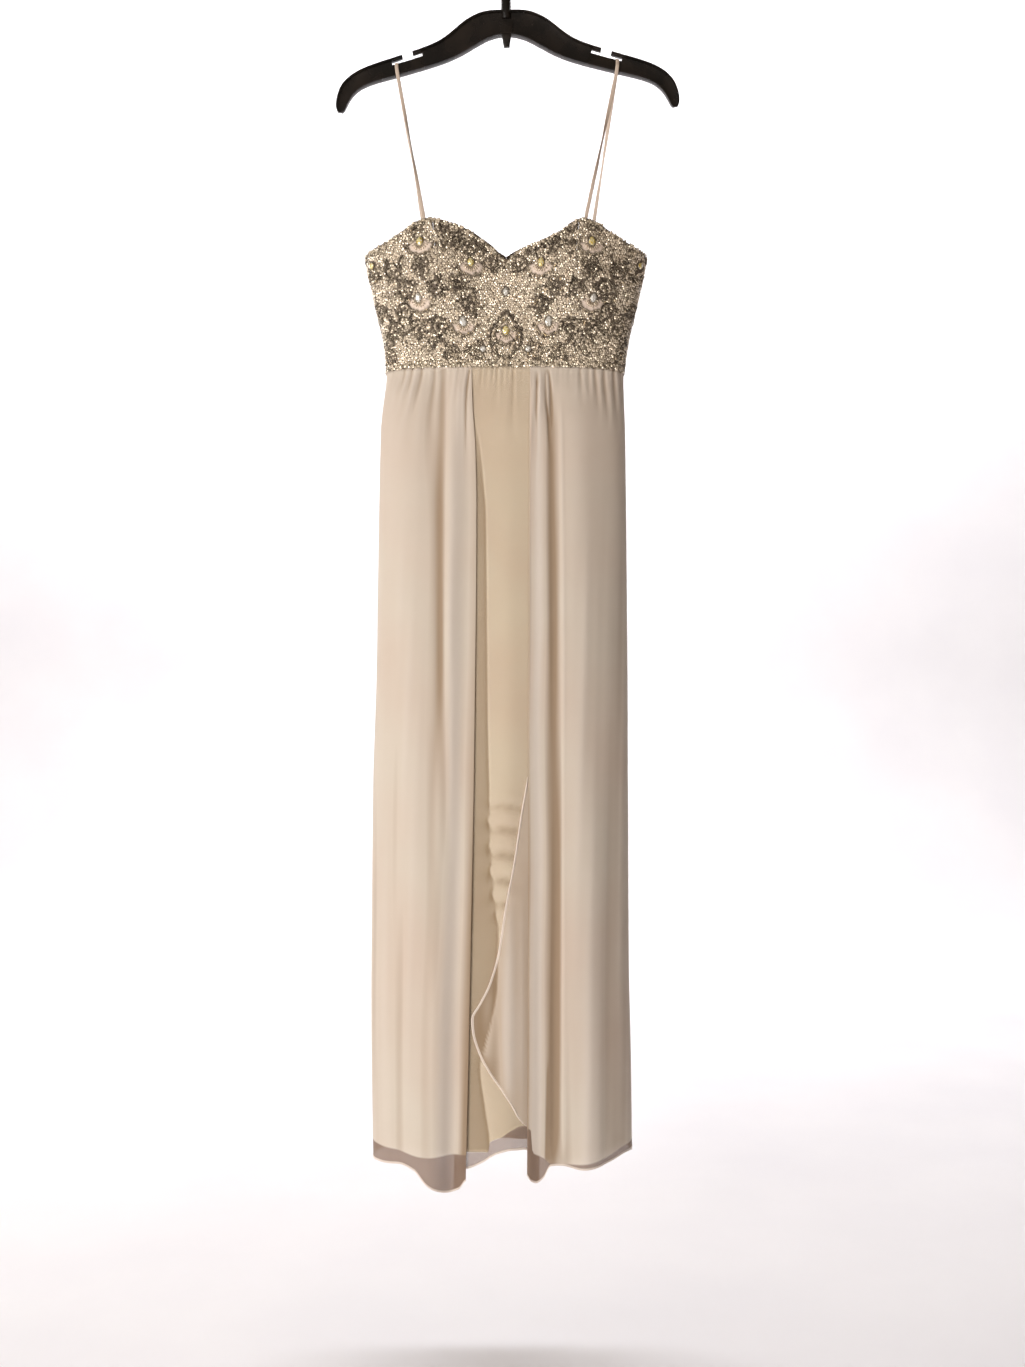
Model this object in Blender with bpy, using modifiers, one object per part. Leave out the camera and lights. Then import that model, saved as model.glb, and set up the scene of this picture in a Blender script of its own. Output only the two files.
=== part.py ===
"""Strapless floor-length evening dress, hanging from a plastic hanger by its two thin ribbons.

The dress has a beaded sweetheart bodice of five panels, a slim lining skirt and a chiffon overskirt that
parts at the front over a cascading under-panel. All sizes are in millimetres, and become metres only when a
mesh is made. The origin is the inside top of the hanger's hook, where a rail would carry it. +Z is up and
the front of the dress faces -Y.
"""

import math
from collections import namedtuple
from functools import lru_cache

import bmesh
import bpy
from mathutils import Matrix, Vector

MM = 0.001

# Heights below the inside top of the hook
NECK_TOP_Z = -400.0
WAIST_Z = -608.0
HEM_Z = -1700.0

# Cloth and seams
SEAM_GAP = 0.3
CHIFFON = 1.0
BODICE_WALL = 2.0

# How far each layer's face stands outside the form of the lining
BODICE_OFFSET = 6.0
OVERLAY_OFFSET = 5.6
CASCADE_RISE = 1.6
ROOT_LEFT, ROOT_CENTRE, ROOT_RIGHT, ROOT_BACK = 2.6, 5.2, 1.4, 2.8

# Gathers at the waist seam: four columns of points make one gather
GATHER_POINTS = 4
GATHER_HEIGHT = 1.2
GATHER_FADE = 80.0

# Colours read from the cloth, beads and hanger
BEAD_COLOUR = (0.62, 0.56, 0.49)
CHIFFON_COLOUR = (0.78, 0.69, 0.60)
LINING_COLOUR = (0.77, 0.66, 0.51)
RIBBON_COLOUR = (0.80, 0.70, 0.60)
CRYSTAL_COLOUR = (0.80, 0.66, 0.30)
HANGER_COLOUR = (0.018, 0.015, 0.013)
STEEL_COLOUR = (0.72, 0.72, 0.72)

# Plan section of the form at each height: half width, depth in front and behind, and sideways sway
Form = namedtuple("Form", "z half_width front_depth back_depth sway")
FORM = (
    Form(-1740, 175.0, 64, 64, -4.0),
    Form(-1585, 175.4, 64, 64, -6.0),
    Form(-1420, 174.2, 63, 62, -8.0),
    Form(-1190, 172.5, 61, 60, -7.5),
    Form(-1020, 169.5, 59, 58, -5.2),
    Form(-690, 165.0, 53, 52, -4.0),
    Form(-608, 160.0, 45, 45, -1.0),
    Form(-568, 164.5, 46, 46, 0.0),
    Form(-511, 177.5, 48, 48, 0.0),
    Form(-449, 190.0, 51, 50, 0.0),
    Form(-400, 193.0, 52, 51, 0.0),
)
FORM_POWER = 2.4
RING_POINTS = 480

# Top edge of the bodice: share of the way round, 0 at centre front, 1 at centre back. The right cup hangs lower.
Neckline = namedtuple("Neckline", "share z_left z_right")
NECKLINE = (
    Neckline(0.000, -469.0, -469.0),
    Neckline(0.035, -450.0, -453.0),
    Neckline(0.075, -436.7, -445.0),
    Neckline(0.125, -423.5, -436.5),
    Neckline(0.170, -415.5, -427.0),
    Neckline(0.210, -409.5, -413.5),
    Neckline(0.245, -407.0, -407.0),
    Neckline(0.290, -411.0, -411.0),
    Neckline(0.335, -423.0, -423.0),
    Neckline(0.420, -439.0, -439.0),
    Neckline(0.500, -446.0, -446.0),
    Neckline(0.580, -441.0, -441.0),
    Neckline(0.700, -425.0, -425.0),
    Neckline(0.850, -419.0, -419.0),
    Neckline(0.960, -419.0, -419.0),
    Neckline(1.000, -428.0, -428.0),
)

# Cups: the middle of each, how far it swells and how wide and tall it is
CUP_X, CUP_Z, CUP_SWELL = 92.0, -484.0, 15.0
CUP_WIDTH, CUP_HEIGHT = 52.0, 56.0
PRINCESS_SHARE_TOP, PRINCESS_SHARE_WAIST = 0.235, 0.200

# Long folds of the overskirt: place at the waist and at the hem, half width, height at the waist and hem
Fold = namedtuple("Fold", "top_x hem_x width top_height hem_height")
FRONT_FOLDS = (
    Fold(-58, -66, 12, 3, 19),
    Fold(-116, -118, 20, 2, 13),
    Fold(-156, -160, 12, 1, 6),
    Fold(42, 40, 8, 4, 20),
    Fold(90, 96, 20, 2, 14),
    Fold(144, 150, 14, 1, 6),
)
BACK_FOLDS = (
    Fold(-142, -148, 14, 1, 9),
    Fold(-96, -100, 17, 2, 14),
    Fold(-44, -48, 16, 2, 12),
    Fold(40, 44, 16, 2, 13),
    Fold(90, 96, 17, 2, 14),
    Fold(140, 148, 14, 1, 9),
)
LINING_FOLD = Fold(4, 6, 22, 0, 7)
FOLD_GROWTH = 0.7

# Free edges of the two front overskirt panels, where the overskirt parts
Edge = namedtuple("Edge", "z x")
LEFT_EDGE = (Edge(-1730, -55), Edge(-1500, -50), Edge(-1100, -43), Edge(-608, -38))
RIGHT_EDGE = (Edge(-1730, 29), Edge(-1500, 30), Edge(-1160, 31), Edge(-608, 33))
CASCADE_RIGHT_X = 66.0
CASCADE_EDGE = (
    Edge(-1640, 27),
    Edge(-1628, 18),
    Edge(-1612, 10),
    Edge(-1594, -2),
    Edge(-1564, -23),
    Edge(-1540, -36),
    Edge(-1512, -44),
    Edge(-1496, -45),
    Edge(-1477, -35),
    Edge(-1450, -21.5),
    Edge(-1411, -10),
    Edge(-1343, 1),
    Edge(-1282, 12.5),
    Edge(-1218, 22),
    Edge(-1170, 30),
    Edge(-1064, 38),
    Edge(-608, 39),
)
PIPING_DIAMETER = 2.2

# Hem of the overskirt across the front, and the lining's hem
Hem = namedtuple("Hem", "x z")
FRONT_HEM = (
    Hem(-180, -1700),
    Hem(-140, -1697),
    Hem(-120, -1706),
    Hem(-104, -1722),
    Hem(-86, -1731),
    Hem(-66, -1719),
    Hem(-50, -1709),
    Hem(28, -1702),
    Hem(36, -1713),
    Hem(46, -1709),
    Hem(58, -1695),
    Hem(74, -1694),
    Hem(100, -1699),
    Hem(140, -1693),
    Hem(165, -1687),
    Hem(180, -1690),
)
BACK_HEM = (Hem(-180, -1700), Hem(-90, -1712), Hem(0, -1700), Hem(90, -1712), Hem(180, -1692))
LINING_HEM = (
    Hem(-180, -1680),
    Hem(-100, -1684),
    Hem(-56, -1700),
    Hem(-32, -1691),
    Hem(-12, -1678),
    Hem(10, -1672),
    Hem(26, -1672),
    Hem(38, -1682),
    Hem(180, -1684),
)

# Rows of the cloth grids, as drops below the waist seam in the gathered stretch and shares of the rest
GATHER_ROWS = (0.0, 7.0, 20.0, 44.0)
GATHER_END = 80.0
HANG_ROWS = (0.06, 0.14, 0.25, 0.38, 0.52, 0.66, 0.80, 0.91, 1.0)
LINING_HANG_ROWS = (0.08, 0.20, 0.35, 0.50, 0.66, 0.82, 1.0)

# Hanging ribbons: places on the hanger and inside the front and back top edges
Ribbon = namedtuple("Ribbon", "side hanger_x front_x back_x")
RIBBONS = (Ribbon("left", -154.5, -110.0, -111.0), Ribbon("right", 154.5, 107.5, 118.0))
RIBBON_WIDTH, RIBBON_THICK = 5.0, 1.0
RIBBON_SEWN = 13.0

# Hanger: middle line of one arm with the half height and half depth of its I-shaped section
Station = namedtuple("Station", "x z half_height half_depth")
HANGER_ARM = (
    Station(0, -117.5, 16.5, 6.5),
    Station(16, -118.5, 17.5, 6.5),
    Station(30, -121.5, 18.5, 6.5),
    Station(44, -128.0, 18.5, 6.5),
    Station(58, -137.0, 17.5, 6.3),
    Station(72, -146.5, 16.0, 6.2),
    Station(90, -156.0, 14.5, 6.0),
    Station(112, -164.0, 13.5, 6.0),
    Station(132, -170.0, 13.0, 6.0),
    Station(154, -176.5, 12.5, 6.0),
    Station(176, -182.5, 12.0, 5.8),
    Station(196, -189.0, 11.5, 5.6),
    Station(212, -197.0, 11.0, 5.4),
    Station(223, -207.0, 10.5, 5.0),
    Station(229, -217.5, 9.3, 4.6),
    Station(232.5, -227.5, 7.8, 4.2),
    Station(234, -235.0, 5.8, 3.6),
    Station(234.5, -238.5, 3.2, 3.0),
)
FLANGE, WEB_HALF = 2.6, 1.8
NOTCH_TILT = -16.3
HANGER_LEAN = -1.0
LEAN_CENTRE_Z = -93.0
NOTCH_MOUTH_X, NOTCH_MOUTH_WIDTH = 139.5, 15.0
SLOT_X, SLOT_LENGTH, SLOT_TOP, SLOT_HEIGHT = 139.5, 44.0, 4.2, 4.6
BOSS_RADIUS, BOSS_TOP_Z, BOSS_BOTTOM_Z = 7.0, -86.0, -112.0
TOOTH_HALF_WIDTH, TOOTH_DROP = 9.0, 15.0
HOOK_WIRE_RADIUS, HOOK_INSIDE_RADIUS, HOOK_END_ANGLE = 1.9, 21.0, 205.0

# Crystals sewn on the bodice: share of the way round, height, width and length of each
Crystal = namedtuple("Crystal", "share z width length")
CRYSTALS = (
    Crystal(0.000, -560, 9.5, 12.5),
    Crystal(0.000, -508, 8.0, 10.0),
    Crystal(0.085, -585, 8.0, 8.0),
    Crystal(0.115, -470, 9.0, 12.0),
    Crystal(0.155, -548, 10.0, 13.0),
    Crystal(0.275, -440, 9.5, 12.5),
    Crystal(0.300, -516, 9.0, 11.5),
    Crystal(0.450, -464, 9.0, 9.0),
    Crystal(0.700, -560, 10.0, 13.0),
    Crystal(0.760, -470, 9.0, 12.0),
)
CRYSTAL_DEPTH, CRYSTAL_SIDES, CRYSTAL_GAP = 3.0, 10, 0.4

# A spot of cloth: where it is, and its share of the way round and its height
Spot = namedtuple("Spot", "point share z")

# Zip at the centre back
ZIP_TOP_Z, ZIP_BOTTOM_Z = -440.0, -960.0
CHAIN_WIDTH, CHAIN_THICK = 5.0, 1.2
SLIDER_WIDTH, SLIDER_DEPTH, SLIDER_HEIGHT = 7.0, 2.4, 10.0
PIN_RADIUS, PIN_STANDOFF, EYE_CLEARANCE, EYE_RADIUS = 0.7, 2.2, 0.3, 1.9
EYE_WIDTH, EAR_THICK = 3.6, 1.1
TAB_LENGTH, TAB_WIDTH, TAB_THICK = 21.0, 5.0, 1.3


def ease(t):
    """Rises smoothly from 0 to 1 as t goes from 0 to 1."""
    t = max(0.0, min(1.0, t))
    return t * t * (3 - 2 * t)


def bell(distance, width):
    """A rounded hump, 1 at its middle."""
    return math.exp(-((distance / width) ** 2))


def read_table(rows, at, column):
    """Smooth value of a named column, where the table's first column equals at."""
    keys = [row[0] for row in rows]
    values = [getattr(row, column) for row in rows]
    if at <= keys[0]:
        return values[0]
    if at >= keys[-1]:
        return values[-1]
    i = max(k for k in range(len(keys) - 1) if keys[k] <= at)
    slopes = [(values[k + 1] - values[k]) / (keys[k + 1] - keys[k]) for k in range(len(keys) - 1)]

    def tangent(k):
        if k == 0 or k == len(keys) - 1:
            return slopes[min(k, len(slopes) - 1)]
        before, after = slopes[k - 1], slopes[k]
        return 0.0 if before * after <= 0 else 2 * before * after / (before + after)

    step = keys[i + 1] - keys[i]
    t = (at - keys[i]) / step
    return (
        values[i] * (1 + 2 * t) * (1 - t) ** 2
        + tangent(i) * step * t * (1 - t) ** 2
        + values[i + 1] * t * t * (3 - 2 * t)
        - tangent(i + 1) * step * t * t * (1 - t)
    )


@lru_cache(maxsize=None)
def form_ring(z):
    """Points round the form at one height with their shares of the way round, from -1 through 0 at the front to 1."""
    half_width = read_table(FORM, z, "half_width")
    front = read_table(FORM, z, "front_depth")
    back = read_table(FORM, z, "back_depth")
    sway = read_table(FORM, z, "sway")
    points = []
    for i in range(RING_POINTS + 1):
        angle = math.pi * (2 * i / RING_POINTS - 1)
        s, c = math.sin(angle), math.cos(angle)
        x = half_width * math.copysign(abs(s) ** (2 / FORM_POWER), s)
        y = -(front if c > 0 else back) * math.copysign(abs(c) ** (2 / FORM_POWER), c)
        points.append((x + sway, y))
    walked = [0.0]
    for a, b in zip(points, points[1:]):
        walked.append(walked[-1] + math.dist(a, b))
    return points, [2 * w / walked[-1] - 1 for w in walked], walked[-1]


def form_spot(share, z):
    """Point (x, y) of the form at a share of the way round and a height."""
    points, shares, _ = form_ring(z)
    share = (share + 1) % 2 - 1 if abs(share) > 1 else share
    low, high = 0, RING_POINTS
    while high - low > 1:
        middle = (low + high) // 2
        low, high = (middle, high) if shares[middle] <= share else (low, middle)
    t = (share - shares[low]) / (shares[high] - shares[low])
    (ax, ay), (bx, by) = points[low], points[high]
    return ax + (bx - ax) * t, ay + (by - ay) * t


def form_normal(share, z):
    """Outward direction (x, y) of the form in plan."""
    step = 0.004
    ax, ay = form_spot(share - step, z)
    bx, by = form_spot(share + step, z)
    length = math.hypot(bx - ax, by - ay)
    return (by - ay) / length, -(bx - ax) / length


def outside_form(share, z, offset):
    """Point that stands outside the form by an offset."""
    x, y = form_spot(share, z)
    nx, ny = form_normal(share, z)
    return Vector((x + nx * offset, y + ny * offset, z))


def share_at_x(x, z, back=False):
    """Share of the way round where the front of the form, or its back, has this x."""
    low, high = (-0.5, 0.5) if not back else (0.5, 1.5)
    for _ in range(40):
        middle = (low + high) / 2
        here = form_spot(middle, z)[0]
        goes_right = here < x if not back else here > x
        low, high = (middle, high) if goes_right else (low, middle)
    return (low + high) / 2


def seam_share(z):
    """Half a seam gap as a share of the way round."""
    return SEAM_GAP / 2 / (form_ring(z)[2] / 2)


def fold_height(fold, x, z):
    """Height of one long fold at a place on the skirt."""
    down = max(0.0, min(1.0, (WAIST_Z - z) / (WAIST_Z - HEM_Z)))
    middle = fold.top_x + (fold.hem_x - fold.top_x) * down
    height = fold.top_height + (fold.hem_height - fold.top_height) * down**FOLD_GROWTH
    return height * bell(x - middle, fold.width) * ease((WAIST_Z - z) / 40)


def lining_offset(share, z):
    """How far the lining stands out: its layers meet at the waist seam, and it folds softly below."""
    x, y = form_spot(share, z)
    near_waist = ease(1 - (WAIST_Z - z) / 160)
    side = ROOT_LEFT if x < 0 else ROOT_RIGHT
    if y > 0:
        return (side + (ROOT_BACK - side) * ease(y / 20)) * near_waist
    centre = ease((34 - abs(x + 2.5)) / 9)
    return (side + (ROOT_CENTRE - side) * centre) * near_waist + fold_height(LINING_FOLD, x, z)


def overlay_offset(share, z):
    """How far the overskirt stands out, over the lining's own fold."""
    x, y = form_spot(share, z)
    folds = FRONT_FOLDS if y < 0 else BACK_FOLDS
    side_calm = ease(abs(y) / 30)
    lifted = sum(fold_height(fold, x, z) for fold in folds) * side_calm
    under = fold_height(LINING_FOLD, x, z) if y < 0 else 0.0
    return OVERLAY_OFFSET + lifted + under


def cup_swell(x, z):
    """How far the cups push the front of the bodice out."""
    return CUP_SWELL * bell(abs(x) - CUP_X, CUP_WIDTH) * bell(z - CUP_Z, CUP_HEIGHT)


def bodice_offset(share, z):
    """How far the outer face of the bodice stands out of the form."""
    x, y = form_spot(share, z)
    return BODICE_OFFSET + cup_swell(x, z) * ease(-y / 30)


def neckline_z(share):
    """Height of the bodice's top edge."""
    share = (share + 1) % 2 - 1
    return read_table(NECKLINE, abs(share), "z_right" if share > 0 else "z_left")


def gather_lift(column, drop):
    """In-and-out of the gathers at a column of points, dying away below the seam."""
    wave = math.sin(2 * math.pi * column / GATHER_POINTS)
    unevenness = 0.78 + 0.22 * math.sin(2.4 * (column // GATHER_POINTS))
    return GATHER_HEIGHT * wave * unevenness * ease(1 - drop / GATHER_FADE)


def make_material(name, colour, roughness, metallic=0.0):
    """Principled material with a flat colour."""
    material = bpy.data.materials.new(name)
    material.use_nodes = True
    shader = material.node_tree.nodes["Principled BSDF"]
    shader.inputs["Base Color"].default_value = (*colour, 1.0)
    shader.inputs["Roughness"].default_value = roughness
    shader.inputs["Metallic"].default_value = metallic
    return material


def add_object(name, mesh, material, collection):
    """Object that carries a mesh and its own material."""
    mesh.materials.clear()
    mesh.materials.append(material)
    piece = bpy.data.objects.new(name, mesh)
    collection.objects.link(piece)
    return piece


def surface_normal(offset, share, z):
    """Outward direction of the cloth at a share and a height, from four points close by."""
    step, rise = 0.003, 1.0
    left, right = share - step, share + step
    across = outside_form(right, z, offset(right, z)) - outside_form(left, z, offset(left, z))
    upward = outside_form(share, z + rise, offset(share, z + rise)) - outside_form(
        share, z - rise, offset(share, z - rise)
    )
    return across.cross(upward).normalized()


def along_row(row, u):
    """Point of a row of spots at a fraction of its length."""
    place = u * (len(row) - 1)
    j = min(int(place), len(row) - 2)
    return row[j].point.lerp(row[j + 1].point, place - j)


def spot_normal(rows, i, j, offset, seams):
    """Outward direction of the cloth at one spot; at a seam it is the same for both panels."""
    row = rows[i]
    spot = row[j]
    if (j == 0 and seams[0]) or (j == len(row) - 1 and seams[1]):
        normal = surface_normal(offset, spot.share, spot.z)
    else:
        u = j / (len(row) - 1)
        across = row[min(j + 1, len(row) - 1)].point - row[max(j - 1, 0)].point
        upward = along_row(rows[max(i - 1, 0)], u) - along_row(rows[min(i + 1, len(rows) - 1)], u)
        normal = across.cross(upward).normalized()
    if abs(spot.z - WAIST_Z) < 1:
        normal.z = 0.0
        normal.normalize()
    return normal


def cloth_mesh(name, rows, thickness, offset, seams):
    """Wall of cloth with its outer face through rows of spots; a row may have half the spaces of the last."""
    maker = bmesh.new()
    outer, inner = [], []
    for i, row in enumerate(rows):
        outer.append([maker.verts.new(spot.point * MM) for spot in row])
        walls = [spot.point - spot_normal(rows, i, j, offset, seams) * thickness for j, spot in enumerate(row)]
        inner.append([maker.verts.new(point * MM) for point in walls])
    for face, turn in ((outer, 1), (inner, -1)):
        for upper, lower in zip(face, face[1:]):
            for j in range(len(lower) - 1):
                if len(upper) == len(lower):
                    maker.faces.new((upper[j], lower[j], lower[j + 1], upper[j + 1])[::turn])
                    continue
                a, b, c = upper[2 * j : 2 * j + 3]
                maker.faces.new((a, lower[j], b)[::turn])
                maker.faces.new((b, lower[j], lower[j + 1])[::turn])
                maker.faces.new((b, lower[j + 1], c)[::turn])
    rims = (
        (outer[0][::-1], inner[0][::-1]),
        (outer[-1], inner[-1]),
        ([row[0] for row in outer], [row[0] for row in inner]),
        ([row[-1] for row in outer][::-1], [row[-1] for row in inner][::-1]),
    )
    for edge, behind in rims:
        for k in range(len(edge) - 1):
            maker.faces.new((edge[k], behind[k], behind[k + 1], edge[k + 1]))
    mesh = bpy.data.meshes.new(name)
    maker.to_mesh(mesh)
    maker.free()
    return mesh


def add_cloth(name, rows, thickness, offset, seams, material, collection):
    """Cloth panel with its wall turned inwards; seams tells which of its two sides are sewn."""
    return add_object(name, cloth_mesh(name, rows, thickness, offset, seams), material, collection)


def make_spot(share, z, offset, lift=0.0):
    """A spot of cloth outside the form."""
    return Spot(outside_form(share, z, offset(share, z) + lift), share, z)


def skirt_rows(columns, left_share, right_share, hem_z, offset, hang_rows, gathered=True):
    """Rows of points of a skirt panel between two edges, with gathers in its top rows."""
    rows = []
    for drop in GATHER_ROWS:
        row = []
        for j in range(columns + 1):
            z = WAIST_Z - SEAM_GAP - drop
            u = j / columns
            share = left_share(z) * (1 - u) + right_share(z) * u
            lift = gather_lift(j, drop) if gathered and 0 < j < columns else 0.0
            row.append(make_spot(share, z, offset, lift))
        rows.append(row)
    start = WAIST_Z - SEAM_GAP - GATHER_END
    for down in (0.0,) + hang_rows:
        row = []
        for j in range(columns // 2 + 1):
            u = 2 * j / columns
            z = start
            share = left_share(z) * (1 - u) + right_share(z) * u
            for _ in range(3):
                z = start + (hem_z(share, z) - start) * down
                share = left_share(z) * (1 - u) + right_share(z) * u
            row.append(make_spot(share, z, offset))
        rows.append(row)
    return rows


def front_hem_z(share, z):
    """Hem height of the overskirt's front."""
    return read_table(FRONT_HEM, form_spot(share, max(z, HEM_Z))[0], "z")


def back_hem_z(share, z):
    """Hem height of the overskirt's back."""
    return read_table(BACK_HEM, form_spot(share, max(z, HEM_Z))[0], "z")


def lining_hem_z(share, z):
    """Hem height of the lining, which rises a little at the front parting."""
    x, y = form_spot(share, max(z, HEM_Z))
    return read_table(LINING_HEM, x, "z") if y < 0 else -1682.0


def side_seam(share, sign):
    """Edge of a panel that stops half a seam gap short of a seam."""
    return lambda z: share + sign * seam_share(z)


def build_overskirt(collection):
    """Two front panels that part over the lining, and two back panels."""
    chiffon = make_material("chiffon", CHIFFON_COLOUR, 0.8)

    def left_free(z):
        return share_at_x(read_table(LEFT_EDGE, z, "x"), z)

    def right_free(z):
        return share_at_x(read_table(RIGHT_EDGE, z, "x"), z)

    both = (True, True)
    panels = (
        ("overskirt_front_left", 52, side_seam(-0.5, 1), left_free, front_hem_z, (True, False)),
        ("overskirt_front_right", 52, right_free, side_seam(0.5, -1), front_hem_z, (False, True)),
        ("overskirt_back_right", 48, side_seam(0.5, 1), side_seam(1.0, -1), back_hem_z, both),
        ("overskirt_back_left", 48, side_seam(-1.0, 1), side_seam(-0.5, -1), back_hem_z, both),
    )
    for name, columns, left, right, hem, seams in panels:
        rows = skirt_rows(columns, left, right, hem, overlay_offset, HANG_ROWS)
        add_cloth(name, rows, CHIFFON, overlay_offset, seams, chiffon, collection)


def build_lining(collection):
    """Slim lining skirt, whose front shows where the overskirt parts."""
    satin = make_material("lining", LINING_COLOUR, 0.6)
    shown_left, shown_right = -36.0, 31.0
    front_columns = 24
    side_columns = 10

    def front_share(j, z):
        """Shares of the front panel's columns: close together where the lining shows."""
        left, right = share_at_x(shown_left, z), share_at_x(shown_right, z)
        if j < side_columns:
            start = side_seam(-0.5, 1)(z)
            return start + (left - start) * j / side_columns
        if j > side_columns + front_columns:
            end = side_seam(0.5, -1)(z)
            return right + (end - right) * (j - side_columns - front_columns) / side_columns
        return left + (right - left) * (j - side_columns) / front_columns

    columns = front_columns + 2 * side_columns
    rows = []
    for drop in GATHER_ROWS:
        z = WAIST_Z - SEAM_GAP - drop
        row = []
        for j in range(columns + 1):
            share = front_share(j, z)
            in_sight = side_columns < j < side_columns + front_columns
            lift = gather_lift(j - side_columns, drop) if in_sight else 0.0
            row.append(make_spot(share, z, lining_offset, lift))
        rows.append(row)
    start = WAIST_Z - SEAM_GAP - GATHER_END
    for down in (0.0,) + LINING_HANG_ROWS:
        row = []
        for j in range(0, columns + 1, 2):
            z = start
            for _ in range(3):
                z = start + (lining_hem_z(front_share(j, z), z) - start) * down
            row.append(make_spot(front_share(j, z), z, lining_offset))
        rows.append(row)
    both = (True, True)
    add_cloth("lining_front", rows, CHIFFON, lining_offset, both, satin, collection)
    backs = (
        ("lining_back_right", side_seam(0.5, 1), side_seam(1.0, -1)),
        ("lining_back_left", side_seam(-1.0, 1), side_seam(-0.5, -1)),
    )
    for name, left, right in backs:
        rows = skirt_rows(16, left, right, lining_hem_z, lining_offset, LINING_HANG_ROWS, gathered=False)
        add_cloth(name, rows, CHIFFON, lining_offset, both, satin, collection)


def cascade_offset(share, z):
    """The cascade lies on the lining, one layer up."""
    return lining_offset(share, z) + CASCADE_RISE + ease((WAIST_Z - z) / 200) * 0.6


def build_cascade(collection):
    """Under-panel that falls from the right of the parting, crosses it and ends in a rolled edge."""
    columns = 12
    heights = [row.z for row in reversed(CASCADE_EDGE)]
    heights = sorted(set(heights + [-700.0, -850.0, -960.0]), reverse=True)
    heights[0] = WAIST_Z - SEAM_GAP
    rows = []
    for z in heights:
        left = share_at_x(read_table(CASCADE_EDGE, z, "x"), z)
        right = share_at_x(CASCADE_RIGHT_X, z)
        shares = [left + (right - left) * j / columns for j in range(columns + 1)]
        rows.append([make_spot(share, z, cascade_offset) for share in shares])
    chiffon = make_material("cascade", CHIFFON_COLOUR, 0.8)
    add_cloth("cascade_panel", rows, CHIFFON, cascade_offset, (False, False), chiffon, collection)

    route = []
    for z in [h for h in heights if h <= -1170.0]:
        share = share_at_x(read_table(CASCADE_EDGE, z, "x"), z)
        route.append(outside_form(share, z, cascade_offset(share, z)) - Vector((SEAM_GAP, 0, 0)))
    reach = CHIFFON / 2 - 0.4
    beside = []
    for before, here, after in zip([route[0]] + route, route, route[1:] + [route[-1]]):
        run = (after - before).normalized()
        out = Vector((0, -1, 0)).cross(run).normalized()
        out = out if out.x < 0 else -out
        beside.append(here + out * (PIPING_DIAMETER / 2 + SEAM_GAP) + Vector((0, reach, 0)))
    add_tube("cascade_rolled_edge", beside, PIPING_DIAMETER / 2, 1, chiffon, collection)


def add_tube(name, points, radius, fineness, material, collection):
    """Round bar along a line of points, with closed ends."""
    curve = bpy.data.curves.new(name, "CURVE")
    curve.dimensions = "3D"
    curve.bevel_depth = radius * MM
    curve.bevel_resolution = fineness
    curve.use_fill_caps = True
    spline = curve.splines.new("POLY")
    spline.points.add(len(points) - 1)
    for target, point in zip(spline.points, points):
        target.co = (*(Vector(point) * MM), 1.0)
    curve.materials.append(material)
    piece = bpy.data.objects.new(name, curve)
    collection.objects.link(piece)
    return piece


def princess_share(z):
    """Where the front's princess seam runs, from the waist to the top edge."""
    up = (z - WAIST_Z) / (NECK_TOP_Z - WAIST_Z)
    return PRINCESS_SHARE_WAIST + (PRINCESS_SHARE_TOP - PRINCESS_SHARE_WAIST) * up


def build_bodice(collection):
    """Five beaded panels: centre front, two side fronts and two backs."""
    beading = make_material("beaded cloth", BEAD_COLOUR, 0.5)

    def princess(side, inward):
        return lambda z: side * (princess_share(z) + inward * seam_share(z))

    panels = (
        ("bodice_centre_front", 16, 9, princess(-1, -1), princess(1, -1)),
        ("bodice_side_front_left", 10, 9, side_seam(-0.5, 1), princess(-1, 1)),
        ("bodice_side_front_right", 10, 9, princess(1, 1), side_seam(0.5, -1)),
        ("bodice_back_right", 14, 7, side_seam(0.5, 1), side_seam(1.0, -1)),
        ("bodice_back_left", 14, 7, side_seam(-1.0, 1), side_seam(-0.5, -1)),
    )
    for name, columns, height_steps, left, right in panels:
        rows = []
        for i in range(height_steps + 1):
            row = []
            for j in range(columns + 1):
                u = j / columns
                z = NECK_TOP_Z
                for _ in range(3):
                    share = left(z) * (1 - u) + right(z) * u
                    z = neckline_z(share) + (WAIST_Z - neckline_z(share)) * i / height_steps
                row.append(make_spot(share, z, bodice_offset))
            rows.append(row)
        add_cloth(name, rows, BODICE_WALL, bodice_offset, (True, True), beading, collection)


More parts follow.
